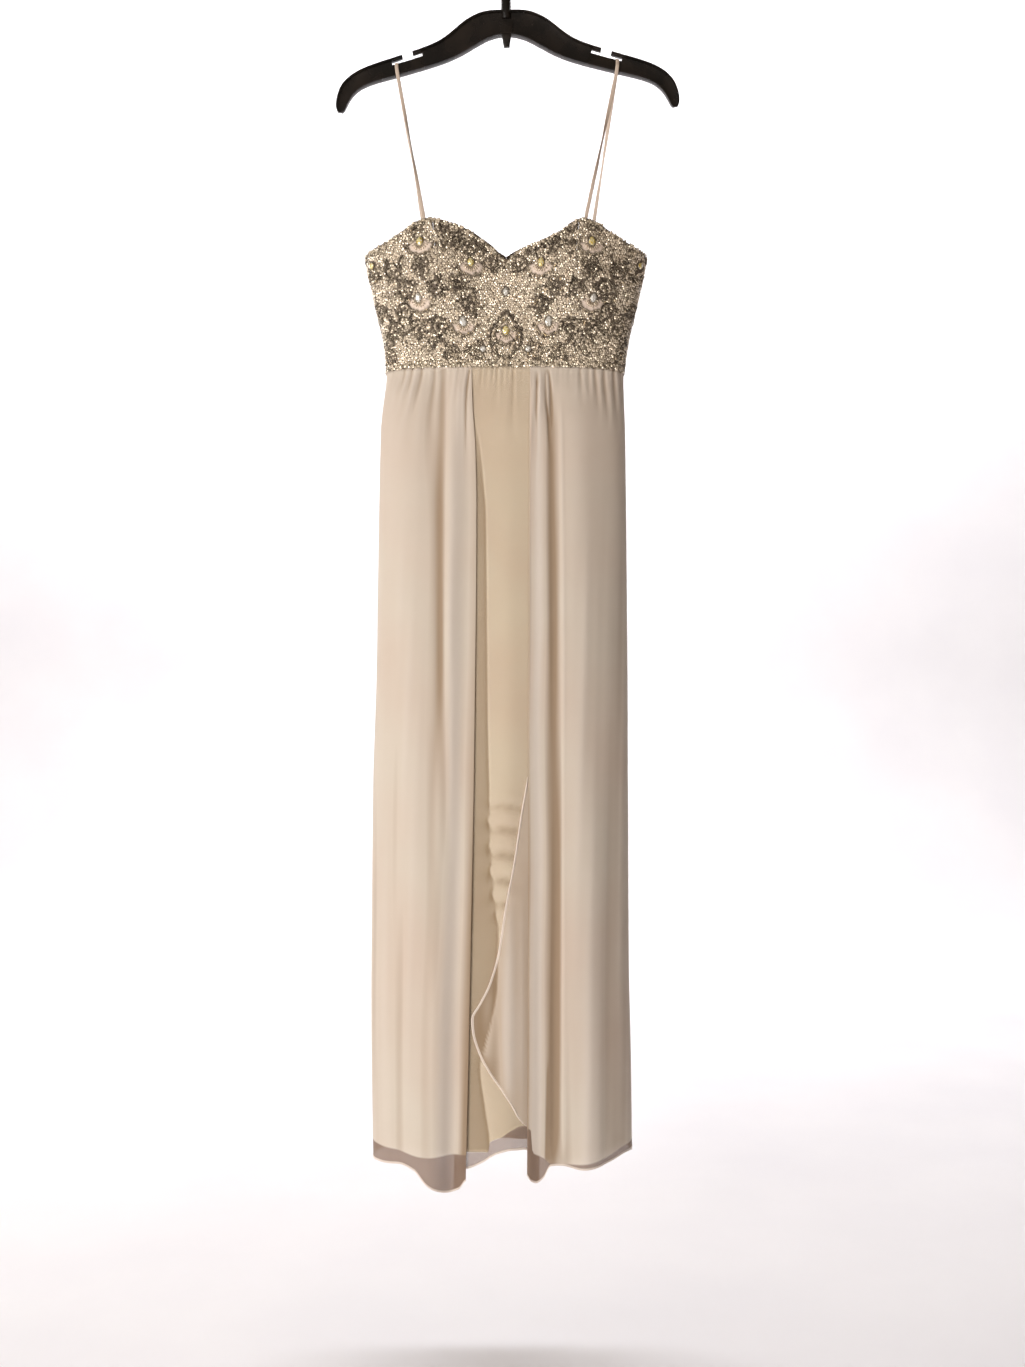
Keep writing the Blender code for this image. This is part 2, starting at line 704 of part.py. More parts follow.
def build_crystals(collection):
    """Flat-backed cut crystals on the bodice, in pairs left and right of the middle."""
    glass = make_material("crystal", CRYSTAL_COLOUR, 0.1)
    count = 0
    for crystal in CRYSTALS:
        for side in (1,) if crystal.share == 0 else (1, -1):
            count += 1
            share, z = side * crystal.share, crystal.z
            seat = outside_form(share, z, bodice_offset(share, z))
            across = outside_form(share + 0.01, z, bodice_offset(share + 0.01, z)) - seat
            upward = outside_form(share, z + 4, bodice_offset(share, z + 4)) - seat
            outward = across.cross(upward).normalized()
            across = upward.cross(outward).normalized()
            upward = outward.cross(across)
            cut = bmesh.new()
            bmesh.ops.create_cone(
                cut, cap_ends=True, segments=CRYSTAL_SIDES, radius1=1.0, radius2=0.55, depth=1.0
            )
            long = crystal.length / crystal.width
            for corner in cut.verts:
                taper = 1 - 0.28 * max(0.0, corner.co.y) * (long - 1) / 0.3
                corner.co.x *= taper * crystal.width / 2
                corner.co.y *= crystal.length / 2
                corner.co.z = (corner.co.z + 0.5) * CRYSTAL_DEPTH + CRYSTAL_GAP
            turn = Matrix((across, upward, outward)).transposed().to_4x4()
            bmesh.ops.transform(cut, matrix=Matrix.Translation(seat) @ turn, verts=cut.verts)
            bmesh.ops.scale(cut, vec=(MM, MM, MM), verts=cut.verts)
            mesh = bpy.data.meshes.new(f"crystal_{count:02d}")
            cut.to_mesh(mesh)
            cut.free()
            add_object(f"crystal_{count:02d}", mesh, glass, collection)


def arm_frame(i):
    """Middle of a hanger station, with the direction across the arm."""
    here = HANGER_ARM[i]
    before, after = HANGER_ARM[max(i - 1, 0)], HANGER_ARM[min(i + 1, len(HANGER_ARM) - 1)]
    run = Vector((after.x - before.x, 0, after.z - before.z)).normalized()
    if i == 0:
        run = Vector((1, 0, 0))
    return Vector((here.x, 0, here.z)), Vector((-run.z, 0, run.x))


def arm_section(i):
    """Twelve corners of the I-shaped section at one station."""
    middle, up = arm_frame(i)
    station = HANGER_ARM[i]
    tall, deep = station.half_height, station.half_depth
    flange, web = min(FLANGE, tall * 0.45), min(WEB_HALF, deep * 0.6)
    half = ((tall, deep), (tall - flange, deep), (tall - flange, web))
    right = list(half) + [(-height, depth) for height, depth in reversed(half)]
    outline = right + [(height, -depth) for height, depth in reversed(right)]
    return [middle + up * height + Vector((0, depth, 0)) for height, depth in outline]


def add_box(name, size, place, tilt, collection):
    """Box of a size, tilted about the Y axis, as a cutter or a joined block."""
    maker = bmesh.new()
    bmesh.ops.create_cube(maker, size=1.0)
    bmesh.ops.scale(maker, vec=Vector(size) * MM, verts=maker.verts)
    turn = Matrix.Rotation(-math.radians(tilt), 4, "Y")
    bmesh.ops.transform(maker, matrix=Matrix.Translation(Vector(place) * MM) @ turn, verts=maker.verts)
    mesh = bpy.data.meshes.new(name)
    maker.to_mesh(mesh)
    maker.free()
    block = bpy.data.objects.new(name, mesh)
    collection.objects.link(block)
    return block


def add_cylinder(name, radius, start, end, segments, collection):
    """Cylinder between two points."""
    start, end = Vector(start), Vector(end)
    maker = bmesh.new()
    bmesh.ops.create_cone(
        maker, cap_ends=True, segments=segments, radius1=radius * MM, radius2=radius * MM, depth=(end - start).length * MM
    )
    turn = (end - start).to_track_quat("Z", "Y").to_matrix().to_4x4()
    bmesh.ops.transform(maker, matrix=Matrix.Translation((start + end) / 2 * MM) @ turn, verts=maker.verts)
    mesh = bpy.data.meshes.new(name)
    maker.to_mesh(mesh)
    maker.free()
    rod = bpy.data.objects.new(name, mesh)
    collection.objects.link(rod)
    return rod


def combine(piece, other, operation):
    """Boolean step with a shape that isn't itself part of the object."""
    other.hide_render = True
    other.display_type = "WIRE"
    step = piece.modifiers.new(other.name, "BOOLEAN")
    step.object = other
    step.operation = operation
    step.solver = "EXACT"


def lean_hanger(piece):
    """Tips a piece of the hanger by its small lean, about the middle of the hook's bore."""
    middle = Vector((0, 0, LEAN_CENTRE_Z)) * MM
    turn = Matrix.Rotation(math.radians(HANGER_LEAN), 4, "Y")
    piece.matrix_world = Matrix.Translation(middle) @ turn @ Matrix.Translation(-middle)


def leaned(point):
    """Where a point of the level hanger is once it leans."""
    middle = Vector((0, 0, LEAN_CENTRE_Z))
    return Matrix.Rotation(math.radians(HANGER_LEAN), 3, "Y") @ (point - middle) + middle


def arm_top_z(x):
    """Height of the hanger arm's upper edge at a distance from the middle."""
    heights = [Edge(station.x, station.z + station.half_height * 1.04) for station in HANGER_ARM[:12]]
    keyed = [Hem(edge.z, edge.x) for edge in heights]
    return read_table(keyed, abs(x), "z")


def build_hanger(collection, cutters):
    """Black plastic hanger with a strap notch in each arm, a boss for the hook and a small tooth below."""
    plastic = make_material("hanger plastic", HANGER_COLOUR, 0.35)
    maker = bmesh.new()
    sections = [[maker.verts.new(p * MM) for p in arm_section(i)] for i in range(len(HANGER_ARM))]
    for near, far in zip(sections, sections[1:]):
        for k in range(len(near)):
            m = (k + 1) % len(near)
            maker.faces.new((near[k], near[m], far[m], far[k]))
    maker.faces.new(sections[-1])
    bmesh.ops.recalc_face_normals(maker, faces=maker.faces)
    mesh = bpy.data.meshes.new("hanger")
    maker.to_mesh(mesh)
    maker.free()
    hanger = add_object("hanger", mesh, plastic, collection)
    mirror = hanger.modifiers.new("other arm", "MIRROR")
    mirror.merge_threshold = 0.00001

    boss = add_cylinder("boss", BOSS_RADIUS, (0, 0, BOSS_BOTTOM_Z), (0, 0, BOSS_TOP_Z), 20, cutters)
    combine(hanger, boss, "UNION")
    tooth_z = HANGER_ARM[0].z - HANGER_ARM[0].half_height
    tooth = add_box("tooth", (2 * TOOTH_HALF_WIDTH, 9.0, 2 * TOOTH_DROP), (0, 0, tooth_z), 0, cutters)
    for corner in tooth.data.vertices:
        if corner.co.z < tooth_z * MM:
            corner.co.x *= 0.3
            corner.co.y *= 0.6
    combine(hanger, tooth, "UNION")
    bore_depth = 14.0
    bore = add_cylinder(
        "hook bore", HOOK_WIRE_RADIUS + SEAM_GAP, (0, 0, BOSS_TOP_Z - bore_depth), (0, 0, BOSS_TOP_Z + 5), 16, cutters
    )
    combine(hanger, bore, "DIFFERENCE")
    for side in (-1, 1):
        top = arm_top_z(NOTCH_MOUTH_X)
        deep = 40.0
        reach = SLOT_TOP + SLOT_HEIGHT
        tilt = side * NOTCH_TILT
        mouth_size = (NOTCH_MOUTH_WIDTH, deep, reach + 10)
        mouth = add_box(
            f"notch mouth {side}", mouth_size, (side * NOTCH_MOUTH_X, 0, top - reach + mouth_size[2] / 2), tilt, cutters
        )
        slot_z = top - SLOT_TOP - SLOT_HEIGHT / 2
        slot_size = (SLOT_LENGTH, deep, SLOT_HEIGHT)
        slot = add_box(f"notch slot {side}", slot_size, (side * SLOT_X, 0, slot_z), tilt, cutters)
        combine(hanger, mouth, "DIFFERENCE")
        combine(hanger, slot, "DIFFERENCE")
    for step in hanger.modifiers:
        if step.type == "BOOLEAN":
            lean_hanger(step.object)
    lean_hanger(hanger)


def build_hook(collection):
    """Steel wire hook: a shank, a bend to the right and a round over the top to an open end on the left."""
    steel = make_material("hook steel", STEEL_COLOUR, 0.25, 1.0)
    radius = HOOK_INSIDE_RADIUS + HOOK_WIRE_RADIUS
    centre_z = -HOOK_INSIDE_RADIUS
    shank_bottom = BOSS_TOP_Z - 13.5
    start_angle = -52.0
    points = [Vector((0, 0, shank_bottom)), Vector((0, 0, -78)), Vector((0, 0, -68)), Vector((0.6, 0, -60))]
    ring_start = Vector(
        (radius * math.cos(math.radians(start_angle)), 0, centre_z + radius * math.sin(math.radians(start_angle)))
    )
    points += [Vector((3.2, 0, -53)), Vector((7.6, 0, -46.5))]
    points.append((points[-1] + ring_start) / 2 + Vector((0.4, 0, -0.3)))
    steps = 26
    for i in range(steps + 1):
        angle = math.radians(start_angle + (HOOK_END_ANGLE - start_angle) * i / steps)
        points.append(Vector((radius * math.cos(angle), 0, centre_z + radius * math.sin(angle))))
    add_tube("hook", points, HOOK_WIRE_RADIUS, 2, steel, collection)


def slot_floor_z(x):
    """Height of the notch's floor, where a ribbon crosses the arm."""
    top = arm_top_z(NOTCH_MOUTH_X) - SLOT_TOP - SLOT_HEIGHT
    return top + math.tan(math.radians(NOTCH_TILT)) * (abs(x) - NOTCH_MOUTH_X)


def ribbon_strand(ribbon, front):
    """Middle line of a strand, from the arm's web down to where it is sewn inside the bodice."""
    face = -1 if front else 1
    end_x = ribbon.front_x if front else ribbon.back_x
    rest = slot_floor_z(ribbon.hanger_x) + SEAM_GAP + RIBBON_THICK / 2
    inward = math.copysign(1, ribbon.hanger_x)
    clear = SEAM_GAP + RIBBON_THICK / 2
    share = share_at_x(end_x, -430.0, back=not front)
    top = neckline_z(share)
    inside = BODICE_WALL + clear
    sewn_top = outside_form(share, top - 2, bodice_offset(share, top - 2) - inside - 0.4)
    sewn_end = outside_form(share, top - RIBBON_SEWN, bodice_offset(share, top - RIBBON_SEWN) - inside - 0.4)
    bottom_z = -192.0
    lead = [
        Vector((ribbon.hanger_x, face * 1.9, rest + 0.2)),
        Vector((ribbon.hanger_x, face * (WEB_HALF + clear + 0.5), rest - 0.7)),
        Vector((ribbon.hanger_x, face * (WEB_HALF + clear + 0.9), rest - 3.0)),
        Vector((ribbon.hanger_x - inward * 0.7, face * (6.0 + clear + 0.4), bottom_z + 9.5)),
        Vector((ribbon.hanger_x - inward * 2.4, face * (6.0 + clear + 0.6), bottom_z - 2)),
    ]
    lead = [leaned(point) for point in lead]
    above = sewn_top + Vector((inward * 1.5, 0, 9))
    above.y -= face * 2.2
    steps = 9
    hang = [lead[-1].lerp(above, (i + 1) / steps) for i in range(steps)]
    return lead + hang + [sewn_top, sewn_end]


def ribbon_mesh(name, line):
    """Flat ribbon along a line, lying across X and twisting half way down each strand."""
    maker = bmesh.new()
    rings = []
    count = len(line)
    for i, here in enumerate(line):
        run = (line[min(i + 1, count - 1)] - line[max(i - 1, 0)]).normalized()
        half = (count - 1) / 2
        along = abs(i - half) / half
        twist = math.radians(62) * math.sin(math.pi * ease((along - 0.35) / 0.5)) if along > 0.35 else 0.0
        slope = NOTCH_TILT * math.copysign(1, here.x) - HANGER_LEAN
        lean = math.radians(slope) if here.z > -197 else 0.0
        flat = Vector((math.cos(lean), 0, math.sin(lean)))
        across = (flat - run * run.dot(flat)).normalized()
        across = Matrix.Rotation(twist, 3, run) @ across
        thick = run.cross(across).normalized()
        corners = [
            here + across * (RIBBON_WIDTH / 2 * a) + thick * (RIBBON_THICK / 2 * b)
            for a, b in ((-1, -1), (1, -1), (1, 1), (-1, 1))
        ]
        rings.append([maker.verts.new(p * MM) for p in corners])
    for near, far in zip(rings, rings[1:]):
        for k in range(4):
            m = (k + 1) % 4
            maker.faces.new((near[k], near[m], far[m], far[k]))
    maker.faces.new(rings[0])
    maker.faces.new(rings[-1])
    bmesh.ops.recalc_face_normals(maker, faces=maker.faces)
    mesh = bpy.data.meshes.new(name)
    maker.to_mesh(mesh)
    maker.free()
    return mesh


def build_ribbons(collection):
    """Two satin hanging ribbons, each over a hanger arm and sewn inside the front and the back."""
    satin = make_material("ribbon satin", RIBBON_COLOUR, 0.4)
    for ribbon in RIBBONS:
        line = list(reversed(ribbon_strand(ribbon, True))) + ribbon_strand(ribbon, False)
        name = f"hanging_ribbon_{ribbon.side}"
        add_object(name, ribbon_mesh(name, line), satin, collection)


def back_face_y(z):
    """Outer face of the bodice at the centre back."""
    return outside_form(1.0, z, BODICE_OFFSET).y


def chain_offset(z):
    """The zip's chain lies inside the bodice wall, then inside the lining."""
    inside_bodice = BODICE_OFFSET - BODICE_WALL - 1.6
    inside_lining = -CHIFFON - 3 * SEAM_GAP
    above = ease((z - WAIST_Z - 4) / 24)
    root = ROOT_BACK * ease(1 - (WAIST_Z - z) / 160)
    below = inside_lining + (root if z < WAIST_Z else ROOT_BACK)
    return below + (inside_bodice - below) * above


def build_zip(collection, cutters):
    """Zip at the centre back: chain inside the seam, slider at the top and a pull tab hanging from it."""
    nylon = make_material("zip nylon", LINING_COLOUR, 0.5)
    metal = make_material("zip metal", STEEL_COLOUR, 0.3, 1.0)
    heights = [-432, -470, -520, -568, -580, -592, -602, -612, -640, -680, -720, -760, -840, ZIP_BOTTOM_Z]
    maker = bmesh.new()
    rings = []
    for z in heights:
        face = outside_form(1.0, z, chain_offset(z)).y
        half = CHAIN_WIDTH / 2
        corners = ((-half, face), (half, face), (half, face - CHAIN_THICK), (-half, face - CHAIN_THICK))
        rings.append([maker.verts.new(Vector((form_spot(1.0, z)[0] + x, y, z)) * MM) for x, y in corners])
    for near, far in zip(rings, rings[1:]):
        for k in range(4):
            m = (k + 1) % 4
            maker.faces.new((near[k], near[m], far[m], far[k]))
    maker.faces.new(rings[0])
    maker.faces.new(rings[-1])
    bmesh.ops.recalc_face_normals(maker, faces=maker.faces)
    mesh = bpy.data.meshes.new("zip_chain")
    maker.to_mesh(mesh)
    maker.free()
    add_object("zip_chain", mesh, nylon, collection)

    slider_back = max(back_face_y(ZIP_TOP_Z - SLIDER_HEIGHT / 2), back_face_y(ZIP_TOP_Z + SLIDER_HEIGHT / 2)) + 0.4
    slider_face = slider_back + SLIDER_DEPTH
    pin_y, pin_z = slider_face + PIN_STANDOFF, ZIP_TOP_Z + 1
    slider = add_box(
        "zip_slider", (SLIDER_WIDTH, SLIDER_DEPTH, SLIDER_HEIGHT), (0, slider_back + SLIDER_DEPTH / 2, ZIP_TOP_Z), 0, collection
    )
    slider.data.materials.append(metal)
    ear_middle = EYE_WIDTH / 2 + SEAM_GAP + EAR_THICK / 2
    for side in (-1, 1):
        ear_depth = PIN_STANDOFF + PIN_RADIUS + 0.8
        place = (side * ear_middle, slider_face + ear_depth / 2 - 0.4, pin_z)
        ear = add_box(f"slider ear {side}", (EAR_THICK, ear_depth + 0.8, 3.0), place, 0, cutters)
        combine(slider, ear, "UNION")
    pin_reach = ear_middle + EAR_THICK / 4
    pin = add_cylinder("slider pin", PIN_RADIUS, (-pin_reach, pin_y, pin_z), (pin_reach, pin_y, pin_z), 12, cutters)
    combine(slider, pin, "UNION")

    tab_top = pin_z - EYE_RADIUS * 0.6
    maker = bmesh.new()
    bmesh.ops.create_cone(maker, cap_ends=True, segments=16, radius1=1.0, radius2=1.0, depth=TAB_THICK * MM)
    bmesh.ops.rotate(maker, matrix=Matrix.Rotation(math.radians(90), 3, "X"), verts=maker.verts)
    for corner in maker.verts:
        down = (1 - corner.co.z) / 2
        spread = (0.42 + 0.58 * ease(down)) * TAB_WIDTH / 2
        corner.co.x *= spread * MM
        corner.co.z = (tab_top - TAB_LENGTH * down) * MM
        corner.co.y += pin_y * MM
    mesh = bpy.data.meshes.new("zip_pull")
    maker.to_mesh(mesh)
    maker.free()
    pull = add_object("zip_pull", mesh, metal, collection)
    half = EYE_WIDTH / 2
    eye = add_cylinder("pull eye", EYE_RADIUS, (-half, pin_y, pin_z), (half, pin_y, pin_z), 16, cutters)
    combine(pull, eye, "UNION")
    hole_radius = PIN_RADIUS + EYE_CLEARANCE
    hole = add_cylinder("pull hole", hole_radius, (-4, pin_y, pin_z), (4, pin_y, pin_z), 16, cutters)
    combine(pull, hole, "DIFFERENCE")


def main():
    """Clears the file and builds the whole dress on its hanger."""
    for old in list(bpy.data.objects):
        bpy.data.objects.remove(old)
    dress = bpy.data.collections.new("strapless dress")
    cutters = bpy.data.collections.new("cutters")
    bpy.context.scene.collection.children.link(dress)
    bpy.context.scene.collection.children.link(cutters)
    build_bodice(dress)
    build_lining(dress)
    build_cascade(dress)
    build_overskirt(dress)
    build_crystals(dress)
    build_zip(dress, cutters)
    build_ribbons(dress)
    build_hanger(dress, cutters)
    build_hook(dress)


main()
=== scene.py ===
"""Looks of a strapless evening dress that hangs from a plastic hanger by two thin ribbons.

The beaded bodice, the lining and its sheer under layers, the chiffon overskirt that parts at the front, the
zip, ribbons, hanger and hook are each a class below. Sizes are in millimetres, as on a maker's sheet, and
become metres when a mesh is made. The origin is the inside top of the hook, +Z is up and the front faces -Y.
"""

import logging
import math
from collections.abc import Callable, Sequence
from dataclasses import dataclass, field
from enum import Enum

import bmesh
import bpy
import numpy as np
from mathutils import Matrix, Vector
from mathutils.kdtree import KDTree


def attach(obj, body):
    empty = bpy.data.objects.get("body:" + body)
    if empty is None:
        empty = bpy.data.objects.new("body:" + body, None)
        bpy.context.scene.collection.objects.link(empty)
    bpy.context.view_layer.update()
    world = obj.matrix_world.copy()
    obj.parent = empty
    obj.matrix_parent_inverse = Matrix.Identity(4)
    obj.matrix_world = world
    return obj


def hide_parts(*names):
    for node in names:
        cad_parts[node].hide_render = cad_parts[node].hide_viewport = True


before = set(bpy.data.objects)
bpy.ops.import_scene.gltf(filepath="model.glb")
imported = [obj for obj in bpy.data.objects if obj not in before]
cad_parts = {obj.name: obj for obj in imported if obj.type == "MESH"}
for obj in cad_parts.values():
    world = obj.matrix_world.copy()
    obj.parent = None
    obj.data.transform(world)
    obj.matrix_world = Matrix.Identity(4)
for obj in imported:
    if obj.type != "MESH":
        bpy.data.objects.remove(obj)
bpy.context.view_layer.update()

LOG = logging.getLogger("dress")
Array = np.ndarray
Material, Mesh, Piece = bpy.types.Material, bpy.types.Mesh, bpy.types.Object
Node, Tree = bpy.types.Node, bpy.types.NodeTree
MM = 0.001

NECK_TOP_Z, WAIST_Z, HEM_Z = -400.0, -608.0, -1700.0
SEAM_GAP = 0.3


class Body(Enum):
    """Bodies of the frame that a piece can ride on."""

    DRESS = "dress"
    PULL = "zip_pull"


class Slot(Enum):
    """Material slots of the record."""

    BEADED_CLOTH = "beaded_cloth"
    CHIFFON = "chiffon"
    LINING = "lining_satin"
    RIBBON = "ribbon_satin"
    ZIP_NYLON = "zip_nylon"
    ZIP_METAL = "zip_metal"
    GOLD_STONE = "crystal_gold"
    CLEAR_STONE = "crystal_clear"
    PLASTIC = "hanger_plastic"
    STEEL = "hook_steel"


class BeadShape(Enum):
    """What is sewn on the bodice."""

    SEQUIN = "sequin"
    ROUND = "round"
    BUGLE = "bugle"


# ---------------------------------------------------------------- curves and the form


def ease(t: Array) -> Array:
    """Smooth rise from 0 to 1 as t goes from 0 to 1."""
    t = np.clip(t, 0.0, 1.0)
    return t * t * (3 - 2 * t)


def bell(distance: Array, width: float) -> Array:
    """Rounded hump that is 1 at its middle."""
    return np.exp(-((distance / width) ** 2))


@dataclass(eq=False)
class SmoothTable:
    """Monotone curve through one column of a table, against the table's first column."""

    rows: Sequence[Sequence[float]]
    column: int = 1

    def __post_init__(self) -> None:
        """Works out the slope of the curve at each row."""
        table = np.array([[row[0], row[self.column]] for row in self.rows], float)
        self.keys, self.values = table[:, 0], table[:, 1]
        slopes = np.diff(self.values) / np.diff(self.keys)
        before, after = slopes[:-1], slopes[1:]
        steady = before * after > 0
        joined = np.where(steady, 2 * before * after / np.where(steady, before + after, 1.0), 0.0)
        self.slopes = np.concatenate([slopes[:1], joined, slopes[-1:]])

    def __call__(self, at: Array) -> Array:
        """Reads the curve.

        Args:
            at: Places along the first column.

        Returns:
            The curve's value at each place, held level past both ends.
        """
        at = np.clip(at, self.keys[0], self.keys[-1])
        i = np.clip(np.searchsorted(self.keys, at, side="right") - 1, 0, len(self.keys) - 2)
        step = self.keys[i + 1] - self.keys[i]
        t = (at - self.keys[i]) / step
        rise = self.slopes[i] * step * t * (1 - t) ** 2 - self.slopes[i + 1] * step * t * t * (1 - t)
        return self.values[i] * (1 + 2 * t) * (1 - t) ** 2 + self.values[i + 1] * t * t * (3 - 2 * t) + rise


@dataclass
class Ripple:
    """Slow, uneven wave made of a few sines with fixed random starts."""

    lengths: Sequence[float]
    seed: int

    def __post_init__(self) -> None:
        """Draws where each sine starts and how it leans."""
        draw = np.random.default_rng(self.seed)
        self.starts = draw.uniform(0, 2 * np.pi, len(self.lengths))
        self.leans = draw.uniform(-1, 1, len(self.lengths))

    def __call__(self, along: Array, across: Array = 0.0) -> Array:
        """Reads the wave.

        Args:
            along: Distance in the direction of the wave, mm.
            across: Distance the other way, which makes the wave drift, mm.

        Returns:
            Height between -1 and 1.
        """
        total = 0.0
        for length, start, lean in zip(self.lengths, self.starts, self.leans):
            total = total + np.sin(2 * np.pi * along / length + start + lean * across / 90.0)
        return total / len(self.lengths)


@dataclass
class DressForm:
    """Smooth tube that the dress hangs round: a superellipse at every height.

    Places on it are a share of the way round (0 centre front, 0.5 the viewer's right side, 1 centre back)
    and a height.
    """

    sections: Sequence[Sequence[float]] = (
        (-1740, 175.0, 64, 64, -4.0), (-1585, 175.4, 64, 64, -6.0), (-1420, 174.2, 63, 62, -8.0),
        (-1190, 172.5, 61, 60, -7.5), (-1020, 169.5, 59, 58, -5.2), (-690, 165.0, 53, 52, -4.0),
        (-608, 160.0, 45, 45, -1.0), (-568, 164.5, 46, 46, 0.0), (-511, 177.5, 48, 48, 0.0),
        (-449, 190.0, 51, 50, 0.0), (-400, 193.0, 52, 51, 0.0),
    )
    power: float = 2.4
    steps: int = 1440
    bottom: float = -1750.0
    z_step: float = 5.0

    def __post_init__(self) -> None:
        """Tabulates the tube's points at even shares of the way round."""
        self.heights = np.arange(self.bottom, NECK_TOP_Z + 12, self.z_step)
        width, front, back, sway = (SmoothTable(self.sections, k)(self.heights)[:, None] for k in (1, 2, 3, 4))
        angle = np.pi * (2 * np.arange(self.steps + 1) / self.steps - 1)[None, :]
        s, c = np.sin(angle), np.cos(angle)
        reach = 2 / self.power
        x = width * np.sign(s) * np.abs(s) ** reach + sway
        y = -np.where(c > 0, front, back) * np.sign(c) * np.abs(c) ** reach
        walked = np.cumsum(np.hypot(np.diff(x), np.diff(y)), axis=1)
        walked = np.concatenate([np.zeros((len(x), 1)), walked], axis=1)
        self.girths = walked[:, -1]
        shares = 2 * walked / self.girths[:, None] - 1
        even = np.linspace(-1, 1, self.steps + 1)
        self.x = np.stack([np.interp(even, shares[k], x[k]) for k in range(len(x))])
        self.y = np.stack([np.interp(even, shares[k], y[k]) for k in range(len(x))])

    def _read(self, table: Array, share: Array, z: Array) -> Array:
        """Reads a table between its points.

        Args:
            table: One number for each height and share.
            share: Shares of the way round.
            z: Heights.

        Returns:
            The value at each place.
        """
        share, z = np.broadcast_arrays(np.asarray(share, float), np.asarray(z, float))
        column = ((share + 1) % 2) / 2 * self.steps
        row = np.clip((z - self.bottom) / self.z_step, 0, len(self.heights) - 1.001)
        i, j = row.astype(int), np.minimum(column.astype(int), self.steps - 1)
        v, u = row - i, column - j
        low = table[i, j] * (1 - u) + table[i, j + 1] * u
        high = table[i + 1, j] * (1 - u) + table[i + 1, j + 1] * u
        return low * (1 - v) + high * v

    def spot(self, share: Array, z: Array) -> tuple[Array, Array]:
        """Plan position x, y of places on the form."""
        return self._read(self.x, share, z), self._read(self.y, share, z)

    def outside(self, share: Array, z: Array, offset: Array) -> Array:
        """Points that stand outside the form.

        Args:
            share: Shares of the way round.
            z: Heights.
            offset: How far out each point stands.

        Returns:
            The points, with a last axis of three.
        """
        reach = 0.004
        ax, ay = self.spot(share - reach, z)
        bx, by = self.spot(share + reach, z)
        length = np.hypot(bx - ax, by - ay)
        x, y = self.spot(share, z)
        x, y = x + (by - ay) / length * offset, y - (bx - ax) / length * offset
        return np.stack(np.broadcast_arrays(x, y, z), axis=-1)

    def half_girth(self, z: Array) -> Array:
        """Half the way round at a height."""
        return np.interp(z, self.heights, self.girths) / 2

    def share_at(self, x: Array, z: Array, back: bool = False) -> Array:
        """Finds where the front or back of the form has an x.

        Args:
            x: Places across the dress.
            z: Heights.
            back: Whether the place is on the back.

        Returns:
            Shares of the way round; on the back they go from 0.5 to 1.5.
        """
        x, z = np.broadcast_arrays(np.asarray(x, float), np.asarray(z, float))
        low, high = np.full(x.shape, 0.5 if back else -0.5), np.full(x.shape, 1.5 if back else 0.5)
        for _ in range(26):
            middle = (low + high) / 2
            here = self.spot(middle, z)[0]
            onward = here > x if back else here < x
            low, high = np.where(onward, middle, low), np.where(onward, high, middle)
        return (low + high) / 2


